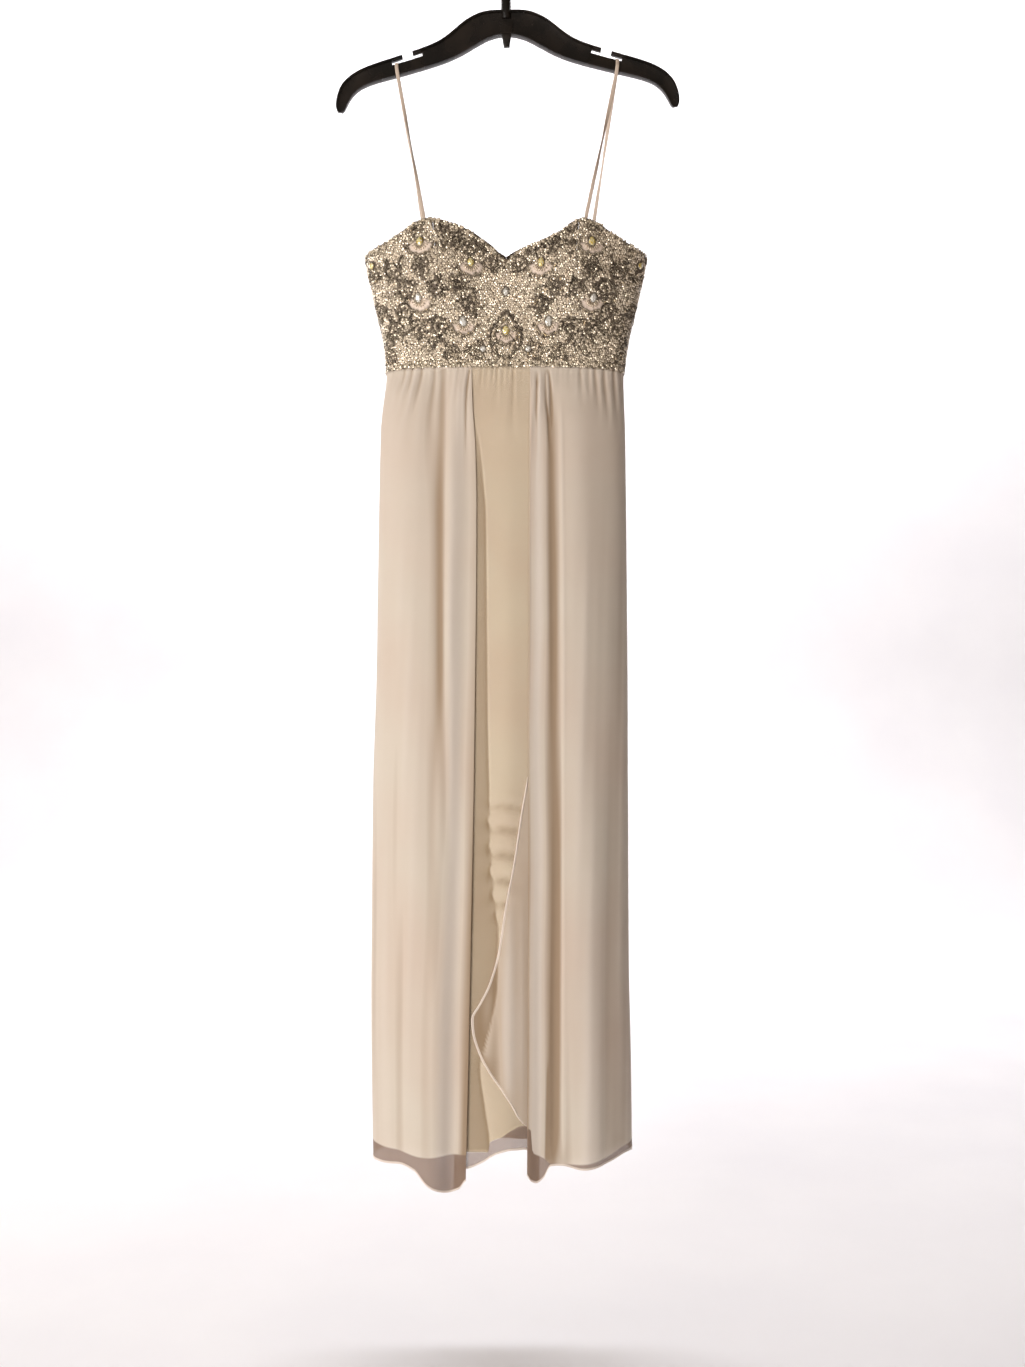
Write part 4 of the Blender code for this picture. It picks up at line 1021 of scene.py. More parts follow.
@dataclass(frozen=True)
class PlatedMetal:
    """Nickel plate on steel or zinc: bright, with faint polishing lines and small dull spots."""

    name: str
    face: str = "#c9c6c0"
    dull: str = "#a6a29a"
    roughness: float = 0.2
    line_mm: float = 1.2

    def make(self) -> Material:
        """Builds the material.

        Returns:
            The material.
        """
        material, tree, shader = new_finish(self.name)
        place = add_node(tree, "ShaderNodeTexCoord")
        # Dull spots are about 7 mm across; the polishing lines are drawn 1.2 mm apart so that they show
        size = {"Scale": 150.0, "Detail": 4.0, "Roughness": 0.6}
        spots = add_node(tree, "ShaderNodeTexNoise", {"Vector": place, **size})
        size = {"Scale": 1 / (self.line_mm * MM), "Detail": 1.0}
        lines = add_node(tree, "ShaderNodeTexNoise", {"Vector": place, **size})
        stops = ((0.3, self.dull), (0.6, self.face))
        colour = add_node(tree, "ShaderNodeValToRGB", {"Fac": spots}, stops=stops)
        ends = {"From Min": 0.3, "From Max": 0.7, "To Min": self.roughness * 1.6, "To Max": self.roughness * 0.7}
        shine = add_node(tree, "ShaderNodeMapRange", {"Value": spots, **ends})
        grained(tree, shader, lines, 0.03, 0.3)
        feed(tree, shader, {"Base Color": colour, "Roughness": shine, "Metallic": 1.0})
        return material


@dataclass(frozen=True)
class ZipNylon:
    """Nylon zip tape and coil, dyed blush: matt tape with a fine rib."""

    name: str = "nylon zip tape and coil"
    face: str = "#d8c4ac"
    shade: str = "#bda68a"

    def make(self) -> Material:
        """Builds the material.

        Returns:
            The material.
        """
        material, tree, shader = new_finish(self.name)
        place = add_node(tree, "ShaderNodeTexCoord")
        # The rib of the tape is about 1 mm
        rib = add_node(tree, "ShaderNodeTexNoise", {"Vector": place, "Scale": 900.0, "Detail": 2.0})
        colour = add_node(tree, "ShaderNodeValToRGB", {"Fac": rib}, stops=((0.3, self.shade), (0.65, self.face)))
        grained(tree, shader, rib, 0.1, 0.4)
        feed(tree, shader, {"Base Color": colour, "Roughness": 0.55})
        return material


@dataclass(frozen=True)
class MattPaper:
    """Seamless studio paper: pale, matt and even."""

    name: str = "seamless studio paper"
    face: str = "#f4f3f5"
    shade: str = "#efeef1"

    def make(self) -> Material:
        """Builds the material.

        Returns:
            The material.
        """
        material, tree, shader = new_finish(self.name)
        place = add_node(tree, "ShaderNodeTexCoord")
        fibre = add_node(tree, "ShaderNodeTexNoise", {"Vector": place, "Scale": 3.0, "Detail": 4.0})
        colour = add_node(tree, "ShaderNodeValToRGB", {"Fac": fibre}, stops=((0.3, self.shade), (0.7, self.face)))
        feed(tree, shader, {"Base Color": colour, "Roughness": 0.9, "Specular IOR Level": 0.1})
        return material


# ---------------------------------------------------------------- skirts


def hem_swell(distance: Array, radius: float) -> Array:
    """Half-round bulge of a rolled hem, by distance from the cut edge, mm."""
    inside = np.clip(1 - ((distance - radius) / radius) ** 2, 0.0, 1.0)
    return radius * 0.75 * np.sqrt(inside)


def falling_rows(fine_down: float, fine: float, coarse: float, length: float) -> Array:
    """Drops below the seam for the rows of a skirt.

    Args:
        fine_down: How far down the gathers go.
        fine: Row spacing in the gathers.
        coarse: Row spacing below.
        length: Whole drop.

    Returns:
        Drops from 0 to the length, with close rows again in the last few millimetres for the hem.
    """
    hem = np.array([12.0, 8.0, 5.4, 3.8, 2.8, 2.1, 1.5, 1.0, 0.6, 0.25, 0.0])
    upper = np.arange(0.0, fine_down, fine)
    middle = np.arange(fine_down, length - 15.0, coarse)
    return np.concatenate([upper, middle, length - hem])


@dataclass(frozen=True)
class Gather:
    """One crease under the waist seam: place across, lean, half width, depth and how far down it runs."""

    x: float
    lean: float
    width: float
    depth: float
    reach: float

    def lift(self, distance: Array, drop: Array) -> Array:
        """In and out of the cloth at a distance from the crease's start."""
        q = (distance - self.lean * drop / 100) / (self.width + 0.035 * drop)
        shape = -bell(q, 1.0) + 0.42 * bell(np.abs(q) - 1.9, 0.9)
        return self.depth * shape * ease(1 - drop / self.reach)


@dataclass
class Crease:
    """One long soft groove, or ridge where its depth is negative, along a line of (height, x)."""

    line: Sequence[tuple[float, float]]
    width: float
    depth: float
    fade_top: float = 20.0
    fade_low: float = 60.0

    def lift(self, x: Array, z: Array) -> Array:
        """Follows the crease.

        Args:
            x: Places across the dress.
            z: Heights.

        Returns:
            How far in or out the cloth goes at each place.
        """
        path = SmoothTable(sorted(self.line))
        top, low = max(row[0] for row in self.line), min(row[0] for row in self.line)
        held = ease((top - z) / self.fade_top) * ease((z - low) / self.fade_low)
        return -self.depth * bell(x - path(z), self.width) * held


@dataclass
class SkirtHems:
    """Hem lines of every layer against x, and the edges of the front opening against z."""

    front: SmoothTable = SmoothTable(
        (
            (-180, -1700), (-140, -1696), (-121, -1702), (-105, -1720), (-94, -1727), (-78, -1731.5),
            (-64, -1727), (-54, -1715), (28, -1706), (33, -1713.5), (41, -1717), (50, -1711), (60, -1695),
            (74, -1694), (100, -1699), (140, -1693), (165, -1687), (180, -1690),
        )
    )
    back: SmoothTable = SmoothTable(((-180, -1700), (-90, -1712), (0, -1700), (90, -1712), (180, -1692)))
    sheer_layer: SmoothTable = SmoothTable(
        (
            (-180, -1680), (-100, -1684), (-56, -1700), (-32, -1691), (-12, -1678), (10, -1672), (26, -1672),
            (38, -1682), (180, -1684),
        )
    )
    lining: SmoothTable = SmoothTable(
        (
            (-180, -1672), (-150, -1673), (-110, -1680), (-70, -1677), (-23.4, -1677), (-22.6, -1664),
            (-6, -1655), (7, -1646), (22, -1640), (33, -1640), (36, -1672), (50, -1680), (60, -1688),
            (90, -1689), (130, -1684), (160, -1674), (180, -1670),
        )
    )
    lining_back: float = -1680.0
    left_edge: SmoothTable = SmoothTable(
        (
            (-1730, -55), (-1500, -50), (-1100, -43), (-800, -40.5), (-720, -42), (-660, -45.5), (-608, -46.5),
        )
    )
    right_edge: SmoothTable = SmoothTable(((-1730, 29), (-1500, 30), (-1160, 31), (-608, 33)))


@dataclass
class Overskirt:
    """Four chiffon panels: two in front that part and turn under at their edges, and two behind."""

    form: DressForm
    layers: Layers
    hems: SkirtHems
    thickness: float = 0.5
    column_step: float = 2.1
    fine_down: float = 110.0
    fine_step: float = 3.6
    coarse_step: float = 7.0
    turn_radius: float = 0.8
    roll_radius: float = 0.8
    # For panels that are sewn at both edges, free at the right edge and free at the left edge
    edge_gaps: tuple[float, float, float] = (0.0, 1.4, 5.4)
    edge_rolls: tuple[float, float, float] = (1.0, 0.35, 1.0)
    edge_reach: float = 36.0
    edge_start: float = 110.0
    left_gathers: tuple[Gather, ...] = (
        Gather(-152, -3, 2.2, 0.5, 60), Gather(-137, -4, 2.4, 1.1, 80), Gather(-127, -6, 2.2, 1.2, 100),
        Gather(-114, -7, 2.8, 1.4, 150), Gather(-97, 2, 2.8, 1.3, 160), Gather(-73, 1, 1.8, 0.5, 50),
        Gather(-63, -1, 1.8, 0.8, 80),
    )
    right_gathers: tuple[Gather, ...] = (
        Gather(72, -1, 1.6, 0.4, 45), Gather(86, 1, 1.8, 0.4, 45), Gather(101, 1, 2.0, 1.1, 70),
        Gather(112, 1, 2.0, 0.6, 60), Gather(121, 2, 2.2, 1.2, 85), Gather(133, 2, 2.2, 1.3, 100),
        Gather(146, 2, 2.2, 1.3, 110), Gather(155, 1, 2.0, 0.9, 80),
    )
    left_creases: tuple[Crease, ...] = (
        Crease(((-608, -86), (-874, -88), (-1000, -86), (-1205, -80), (-1330, -76), (-1440, -74)), 9.5, 3.4, 4, 260),
        Crease(((-608, -106), (-700, -104), (-800, -98), (-900, -95)), 13.0, 1.7, 10, 140),
        Crease(((-609, -49), (-622, -51), (-650, -53.5), (-672, -54.5), (-760, -55.5)), 1.7, 2.0, 5, 90),
        Crease(((-609, -51), (-640, -57), (-700, -59), (-800, -59)), 2.2, -0.8, 5, 100),
        Crease(((-609, -63), (-700, -64), (-780, -64)), 2.6, -0.7, 8, 90),
        Crease(((-900, -150), (-1200, -146), (-1640, -140)), 12.0, 0.9, 200, 200),
    )
    right_creases: tuple[Crease, ...] = (
        Crease(((-609, 43), (-640, 42), (-712, 39.5), (-783, 37), (-800, 36.5)), 2.1, 3.2, 26, 26),
        Crease(((-609, 47), (-700, 45), (-760, 41.5), (-800, 39)), 1.5, -1.0, 12, 40),
        Crease(((-610, 56), (-625, 53.5), (-650, 54), (-690, 58), (-740, 61)), 1.5, 1.6, 6, 60),
        Crease(((-610, 57.5), (-630, 60), (-660, 61.5), (-700, 62)), 1.6, 2.0, 6, 40),
        Crease(((-625, 61), (-760, 62), (-900, 64), (-1200, 67), (-1700, 66)), 8.5, 2.5, 50, 60),
        Crease(((-640, 74), (-1000, 77), (-1700, 77)), 2.6, -0.9, 60, 60),
        Crease(((-1540, 57), (-1620, 56), (-1700, 55)), 2.2, 1.6, 60, 10),
    )

    def back_gathers(self, side: int) -> tuple[Gather, ...]:
        """Draws the creases of one back panel, uneven but the same each time.

        Args:
            side: -1 for the viewer's left, 1 for the right.

        Returns:
            The creases.
        """
        draw = np.random.default_rng(40 + side)
        places = np.arange(9.0, 156.0, 13.2) + draw.uniform(-3.2, 3.2, 12)
        spans = ((-4, 4), (1.8, 2.8), (0.8, 2.0), (55, 170))
        return tuple(Gather(side * x, *(draw.uniform(*span) for span in spans)) for x in places)

    def panel(
        self,
        name: str,
        left: Callable[[Array], Array],
        right: Callable[[Array], Array],
        back: bool,
        free: int,
        gathers: Sequence[Gather],
        creases: Sequence[Crease],
        seed: int,
    ) -> ClothSheet:
        """Shapes one panel.

        Args:
            name: Name of the panel.
            left: Share of its left edge at a height.
            right: Share of its right edge at a height.
            back: Whether it is a back panel.
            free: 1 where its right edge is free, -1 where its left edge is, 0 where both are sewn.
            gathers: Its gathers at the waist.
            creases: Its longer creases.
            seed: Start of its slow ripples.

        Returns:
            The sheet of cloth.
        """
        start = WAIST_Z - SEAM_GAP
        drops = falling_rows(self.fine_down, self.fine_step, self.coarse_step, 1100.0)
        t = (drops / drops[-1])[:, None]
        heights = np.arange(-1745.0, -600.0, 5.0)
        left_shares, right_shares = left(heights), right(heights)
        width = float(np.mean(right_shares - left_shares)) * 430.0
        main = np.linspace(0.0, 1.0, max(40, int(width / self.column_step)))
        u, turn, under = main, np.zeros_like(main), np.zeros_like(main)
        if free:
            corner = np.array([0.3, 0.6, 0.85, 1.0]) * np.pi
            back_way = np.array([0.12, 0.28, 0.46, 0.64, 0.8, 0.9, 0.96, 1.0])
            ends = np.ones(len(corner) + len(back_way))
            u = np.concatenate([u, ends])
            turn = np.concatenate([turn, corner, np.full(len(back_way), np.pi)])
            under = np.concatenate([under, np.zeros(len(corner)), back_way])
        if free < 0:
            u, turn, under = 1 - u[::-1], turn[::-1], under[::-1]
        u, turn, under = u[None, :], turn[None, :], under[None, :]

        def opened(height: Array) -> Array:
            """How far the free edge has turned under; at the waist it is sewn flat."""
            return 0.15 + 0.85 * ease((start - height - 8) / 80)

        hem_of = self.hems.back if back else self.hems.front
        z = start + (HEM_Z - start) * np.broadcast_to(t, (len(drops), u.shape[1]))
        for _ in range(4):
            base = np.interp(z, heights, left_shares) * (1 - u) + np.interp(z, heights, right_shares) * u
            fold_width = 7.0 + 9.0 * ease((WAIST_Z - z) / 900)
            sideways = (self.turn_radius * np.sin(turn) - under * fold_width) * free
            share = base + sideways * opened(z) / self.form.half_girth(z)
            hem = hem_of(self.form.spot(share, np.maximum(z, HEM_Z))[0])
            z = start + (hem - start) * t
        x, y = self.form.spot(share, z)
        drop = start - z
        along = share * self.form.half_girth(WAIST_Z)
        wander = 1.6 * Ripple((310.0, 520.0), seed)(z) * ease((drop - 80) / 300)
        lift = self.layers.overskirt(share, z, wander)
        calm_seams = ease((drop - 120) / 260)
        waves = Ripple((31.0, 47.0, 73.0), seed + 5)(along, z) * (1.3 if back else 0.75)
        waves = waves + Ripple((15.0, 21.0), seed + 9)(along, z * 1.4) * 0.22
        from_left, from_right = along - along[:, :1], along[:, -1:] - along
        held = ease(from_left / 14) if free >= 0 else ease((from_left + 1) / 3)
        held = held * (ease(from_right / 14) if free <= 0 else ease((from_right + 1) / 3))
        lift = lift + waves * calm_seams * held
        for crease in creases:
            lift = lift + crease.lift(x, z) * held
        waist_share = self.form.share_at(np.array([g.x for g in gathers]), WAIST_Z, back)
        waist_share = (waist_share + 1) % 2 - 1
        for gather, place in zip(gathers, waist_share):
            lift = lift + gather.lift(along - place * self.form.half_girth(WAIST_Z), drop) * held
        # painted_shade: painted shade in the valleys of the panel's folds, creases and gathers, and a painted
        # highlight on their ridges
        marks = {"painted_shade": painted_fold_shade(lift, self.column_step)}
        if free:
            edge_x = x[:, -1:] if free > 0 else x[:, :1]
            low = self.layers.lining(share, z) + self.edge_gaps[free]
            near = ease(1 - np.abs(x - edge_x) / self.edge_reach) * ease(drop / self.edge_start)
            lift = lift + np.minimum(low - lift, 0.0) * near
        lift = lift - self.turn_radius * self.edge_rolls[free] * (1 - np.cos(turn)) * opened(z)
        from_hem = z - (start + (hem - start))
        line = self.hems.lining_back if back else self.hems.lining(x)
        marks["below_line"] = np.where(y > 0, self.hems.lining_back, line) - 3.0 - z
        marks["from_hem"] = from_hem + 0.0 * z
        points = self.form.outside(share, z, lift)
        return ClothSheet(points, self.thickness, hem_swell(from_hem, self.roll_radius), False, marks)

    def build(self, chiffon: Material) -> list[Piece]:
        """Builds the four panels.

        Args:
            chiffon: Their finish.

        Returns:
            The panels, front left first and then round.
        """

        def seam(share: float, inward: int) -> Callable[[Array], Array]:
            """Edge that stops half a seam gap short of a seam."""
            return lambda z: share + inward * SEAM_GAP / 2 / self.form.half_girth(z)

        def left_free(z: Array) -> Array:
            """Free edge of the panel on the viewer's left."""
            return self.form.share_at(self.hems.left_edge(z), z)

        def right_free(z: Array) -> Array:
            """Free edge of the panel on the viewer's right."""
            return self.form.share_at(self.hems.right_edge(z), z)

        plans = (
            (
                "front_left", seam(-0.5, 1), left_free, False, 1,
                self.left_gathers, self.left_creases, 3, (0.215, 1.12),
            ),
            (
                "front_right", right_free, seam(0.5, -1), False, -1,
                self.right_gathers, self.right_creases, 14, (0.235, 1.11),
            ),
            ("back_right", seam(0.5, 1), seam(1.0, -1), True, 0, self.back_gathers(1), (), 25, (0.23, 1.11)),
            ("back_left", seam(-1.0, 1), seam(-0.5, -1), True, 0, self.back_gathers(-1), (), 36, (0.23, 1.11)),
        )
        panels = []
        for name, left, right, back, free, gathers, creases, seed, flat in plans:
            sheet = self.panel(name, left, right, back, free, gathers, creases, seed)
            node = f"overskirt_{name}"
            piece = hand_over(f"{node}_chiffon", sheet.mesh(node), [chiffon], [node])
            LOG.info("    cloth %.4f m2", area_of(piece))
            panels.append(piece)
        return panels


@dataclass
class UnderSkirts:
    """Golden lining tube, the sheer layer over its front and the cascading panel with its rolled edge."""

    form: DressForm
    layers: Layers
    hems: SkirtHems
    lining_thickness: float = 0.5
    sheer_thickness: float = 0.3
    cascade_thickness: float = 0.5
    panel_right: float = 34.0
    panel_rise: float = 1.5
    panel_left: SmoothTable = SmoothTable(
        (
            (-1700, -20), (-1664, -21), (-1620, -27), (-1562, -34), (-1510, -22), (-1450, -11), (-1380, -9.5),
            (-1340, -13), (-1300, -17.5), (-1200, -21), (-1100, -23.5), (-874, -25.7), (-808, -26.5),
            (-767, -30), (-713, -35.5), (-672, -43.5), (-608, -46),
        )
    )
    piping_diameter: float = 2.2
    cascade_right: float = 66.0
    cascade_edge: SmoothTable = SmoothTable(
        (
            (-1640, 27), (-1628, 18), (-1612, 10), (-1594, -2), (-1564, -23), (-1540, -36), (-1512, -44),
            (-1496, -45), (-1477, -35), (-1450, -21.5), (-1411, -10), (-1343, 1), (-1282, 12.5), (-1218, 22),
            (-1170, 30), (-1064, 38), (-608, 39),
        )
    )
    gathers: tuple[Gather, ...] = (
        Gather(-33, 0, 1.7, 0.7, 60), Gather(-25, 0, 1.7, 0.4, 40), Gather(-17, 0, 1.6, 0.7, 55),
        Gather(-11.5, 0, 1.5, 0.9, 75), Gather(-3, 0, 1.5, 0.5, 45), Gather(5, 0, 1.5, 0.5, 60),
        Gather(10.5, 0, 1.7, 1.0, 130), Gather(22, 1, 1.6, 0.4, 45),
    )

    def centre_form(self, x: Array, z: Array) -> Array:
        """Relief of the front: a flat-topped golden panel with a steep left side and a puckered stretch."""
        grown = ease((WAIST_Z - z - 15) / 160)
        plateau = self.plateau(x, z)
        return (self.panel_rise * grown + 3.0 * self.puffs(x, z) * bell(x + 3, 22)) * plateau

    def plateau(self, x: Array, z: Array) -> Array:
        """1 on the golden panel, 0 beside it; its left side goes in and out with the puffs."""
        left = self.panel_left(z) - 9.0 * self.puffs(self.panel_left(z), z)
        return ease((x - left + 1.5) / 3.0) * ease((self.panel_right + 6 - x) / 6.0)

    def puffs(self, x: Array, z: Array) -> Array:
        """Row of small puffs where the golden panel is puckered, about 0.4 on a puff and -0.5 between."""
        pucker = ease((z + 1385) / 50) * ease((-1185 - z) / 30)
        turns = 2 * np.pi * (z - 0.1 * x + 0.006 * (x + 8) ** 2 + 5.0 * np.sin(z / 37.0)) / 31.0
        return pucker * (np.sqrt(np.sin(turns / 2 + 0.4) ** 2 + 0.01) - 0.6)

    def shaded(self, x: Array, z: Array) -> Array:
        """How much painted shade a place of the front takes: a painted shadow under the overskirt's free edge, and
        painted shade that grows towards the bottom of the middle.
        """
        near = ease((self.panel_left(z) - x + 1.0) / 3.0) * ease((x + 60) / 10)
        low = 0.5 * ease((-1060 - z) / 260) * bell(x, 60)
        return np.maximum(near * (0.85 + 0.3 * low) * ease((WAIST_Z - 30 - z) / 140), low)

    def grid(self, columns: Array, drops: Array, hem: Callable[[Array, Array], Array]) -> tuple[Array, Array, Array]:
        """Lays out a skirt's rows and columns.

        Args:
            columns: Shares of the way round.
            drops: Drops of the rows, of which the last is the hem.
            hem: Hem height at a share and height.

        Returns:
            Shares, heights and distances above the hem.
        """
        start = WAIST_Z - SEAM_GAP
        t = (drops / drops[-1])[:, None]
        share = np.broadcast_to(columns[None, :], (len(drops), len(columns)))
        z = start + (HEM_Z + 20 - start) * np.broadcast_to(t, share.shape)
        for _ in range(4):
            foot = hem(share, np.maximum(z, HEM_Z))
            z = start + (foot - start) * t
        return share, z, z - foot

    def crease(self, share: Array, z: Array) -> Array:
        """Gathers of the front centre.

        Args:
            share: Shares of the way round.
            z: Heights.

        Returns:
            How far in or out the cloth goes at each place.
        """
        girth = self.form.half_girth(WAIST_Z)
        along, drop = share * girth, WAIST_Z - SEAM_GAP - z
        lift = np.zeros_like(z)
        for gather in self.gathers:
            lift += gather.lift(along - float(self.form.share_at(gather.x, WAIST_Z)) * girth, drop)
        return lift

    def build_lining(self, satin: Material) -> Piece:
        """Builds the lining, one tube all round.

        Args:
            satin: Its finish.

        Returns:
            The lining.
        """
        shown = np.linspace(-0.125, 0.11, 60)
        sides = np.linspace(0.11, 2 - 0.125, 84)[1:-1]
        columns = np.concatenate([shown, sides])

        def hem(share: Array, z: Array) -> Array:
            """Hem height, which rises at the front opening."""
            x, y = self.form.spot(share, z)
            return np.where(y < 0, self.hems.lining(x), self.hems.lining_back)

        drops = falling_rows(80.0, 5.0, 7.0, 1070.0)
        share, z, from_hem = self.grid(columns, drops, hem)
        x, y = self.form.spot(share, z)
        front = ease(-y / 20)
        lift = self.layers.lining(share, z) - 0.8
        relief = self.centre_form(x, z) * front + self.crease(share, z) * front * bell(x, 60)
        waves = Ripple((43.0, 71.0, 110.0), 51)(share * 430, z) * 1.0 * ease((WAIST_Z - z - 100) / 300)
        waves = waves * (1 - ease((x + 85) / 20) * ease((70 - x) / 20) * front)
        # painted_shade: painted shade in the relief's valleys, a painted shadow under the overskirt's free edge, and
        # painted shade between the puffs, which are painted lighter
        marks = {
            "painted_shade": np.clip(
                painted_fold_shade(relief, 1.8)
                + (0.55 * self.shaded(x, z) - 0.4 * self.puffs(x, z) * self.plateau(x, z)) * front,
                -1,
                1,
            ),
            "from_hem": from_hem,
        }
        points = self.form.outside(share, z, lift + relief + waves * (1 - bell(x - 5, 40) * front))
        sheet = ClothSheet(points, self.lining_thickness, hem_swell(from_hem, 0.5), True, marks)
        nodes = ["lining_front", "lining_back_left", "lining_back_right"]
        piece = hand_over("lining_satin_tube", sheet.mesh("lining"), [satin], nodes)
        LOG.info("    cloth %.4f m2", area_of(piece))
        return piece

    def build_sheer(self, chiffon: Material) -> Piece:
        """Builds the sheer layer over the front of the lining.

        Args:
            chiffon: Its finish.

        Returns:
            The layer.
        """
        columns = np.linspace(-0.14, 0.155, 78)

        def hem(share: Array, z: Array) -> Array:
            """Hem height."""
            return self.hems.sheer_layer(self.form.spot(share, z)[0])

        drops = falling_rows(80.0, 5.0, 5.5, 1080.0)
        share, z, from_hem = self.grid(columns, drops, hem)
        x, _ = self.form.spot(share, z)
        lift = self.layers.lining(share, z) + 0.3 + self.centre_form(x, z) + self.crease(share, z) * bell(x, 60)
        # painted_shade: painted shade in the valleys of the centre's relief and gathers, a painted shadow under the
        # overskirt's free edge, and painted shade between the puffs, which are painted lighter
        marks = {
            "painted_shade": np.clip(
                painted_fold_shade(self.centre_form(x, z) + self.crease(share, z), 1.6) * 0.8
                + 0.55 * self.shaded(x, z)
                - 0.45 * self.puffs(x, z) * self.plateau(x, z),
                -1,
                1,
            ),
            "from_hem": from_hem,
            "below_line": self.hems.lining(x) - z,
        }
        sheet = ClothSheet(
            self.form.outside(share, z, lift), self.sheer_thickness, hem_swell(from_hem, 0.7), False, marks
        )
        piece = hand_over("under_layer_chiffon", sheet.mesh("under_layer"), [chiffon], ["lining_front"])
        LOG.info("    cloth %.4f m2", area_of(piece))
        return piece

    def cascade_lift(self, share: Array, z: Array) -> Array:
        """Face of the cascading panel, with folds that come in towards its foot.

        Args:
            share: Shares of the way round.
            z: Heights.

        Returns:
            How far outside the form it stands at each place.
        """
        x = self.form.spot(share, z)[0]
        lift = self.layers.cascade(share, z) + np.maximum(self.centre_form(x, z), -0.3)
        folds = 1.5 * bell(x - 4, 8) + 0.9 * bell(x - 22, 6) + 1.2 * bell(x + 24, 9) - 0.5 * bell(x + 9, 5)
        return lift + folds * ease((-1250 - z) / 150)

    def build_cascade(self, chiffon: Material, rolled: Material) -> list[Piece]:
        """Builds the panel that falls from the right of the opening and crosses it, with its rolled edge.

        Args:
            chiffon: Finish of the panel.
            rolled: Finish of its edge.

        Returns:
            The panel and its edge.
        """
        start = WAIST_Z - SEAM_GAP
        z_rows = np.concatenate([start - np.arange(0, 560, 7.0), np.arange(start - 560, -1636.0, -5.5), [-1640.0]])
        u = np.concatenate([[0.0, 0.006, 0.014, 0.026], np.linspace(0.05, 1.0, 40)])[None, :]
        z = np.broadcast_to(z_rows[:, None], (len(z_rows), u.shape[1]))
        left = self.form.share_at(self.cascade_edge(z_rows), z_rows)[:, None]
        right = self.form.share_at(np.full(len(z_rows), self.cascade_right), z_rows)[:, None]
        share = left * (1 - u) + right * u
        x, lift = self.form.spot(share, z)[0], self.cascade_lift(share, z)
        # painted_shade: painted shade in the folds' valleys, a painted highlight on their ridges, and more painted
        # shade in the low corner left of x -9 below z -1350
        marks = {
            "painted_shade": np.clip(painted_fold_shade(lift, 1.8) + 0.45 * ease((-9 - x) / 8) * ease((-1350 - z) / 60), -1, 1),
            "from_hem": np.broadcast_to(u * 200.0, z.shape) + 60 * ease((z + 1190) / 40),
            "below_line": np.minimum(self.hems.lining(x), -1662) - z,
        }
        sheet = ClothSheet(self.form.outside(share, z, lift), self.cascade_thickness, 0.0, False, marks)
        panel = hand_over("cascade_chiffon", sheet.mesh("cascade"), [chiffon], ["cascade_panel"])
        LOG.info("    cloth %.4f m2", area_of(panel))

        edge_z = np.arange(-1168.0, -1639.0, -4.0)
        edge_share = self.form.share_at(self.cascade_edge(edge_z) - 0.8, edge_z)
        edge_lift = self.cascade_lift(edge_share, edge_z) - 0.1
        path = [Vector(p) for p in self.form.outside(edge_share, edge_z, edge_lift)]
        radius = self.piping_diameter / 2
        ends = np.minimum(np.arange(len(path)), np.arange(len(path))[::-1])
        radii = radius * (0.35 + 0.65 * ease(ends / 4.0)) * (1 + 0.06 * Ripple((23.0, 37.0), 7)(edge_z))
        mesh = lofted("rolled_edge", tube_rings(path, radii, 10))
        piping = hand_over("cascade_rolled_hem", mesh, [rolled], ["cascade_rolled_edge"])
        return [panel, piping]


# ---------------------------------------------------------------- bodice


@dataclass(frozen=True)
class Stone:
    """A sewn stone: share of the way round, height, width, length and whether it is gold."""

    node: str
    share: float
    z: float
    width: float
    length: float
    gold: bool


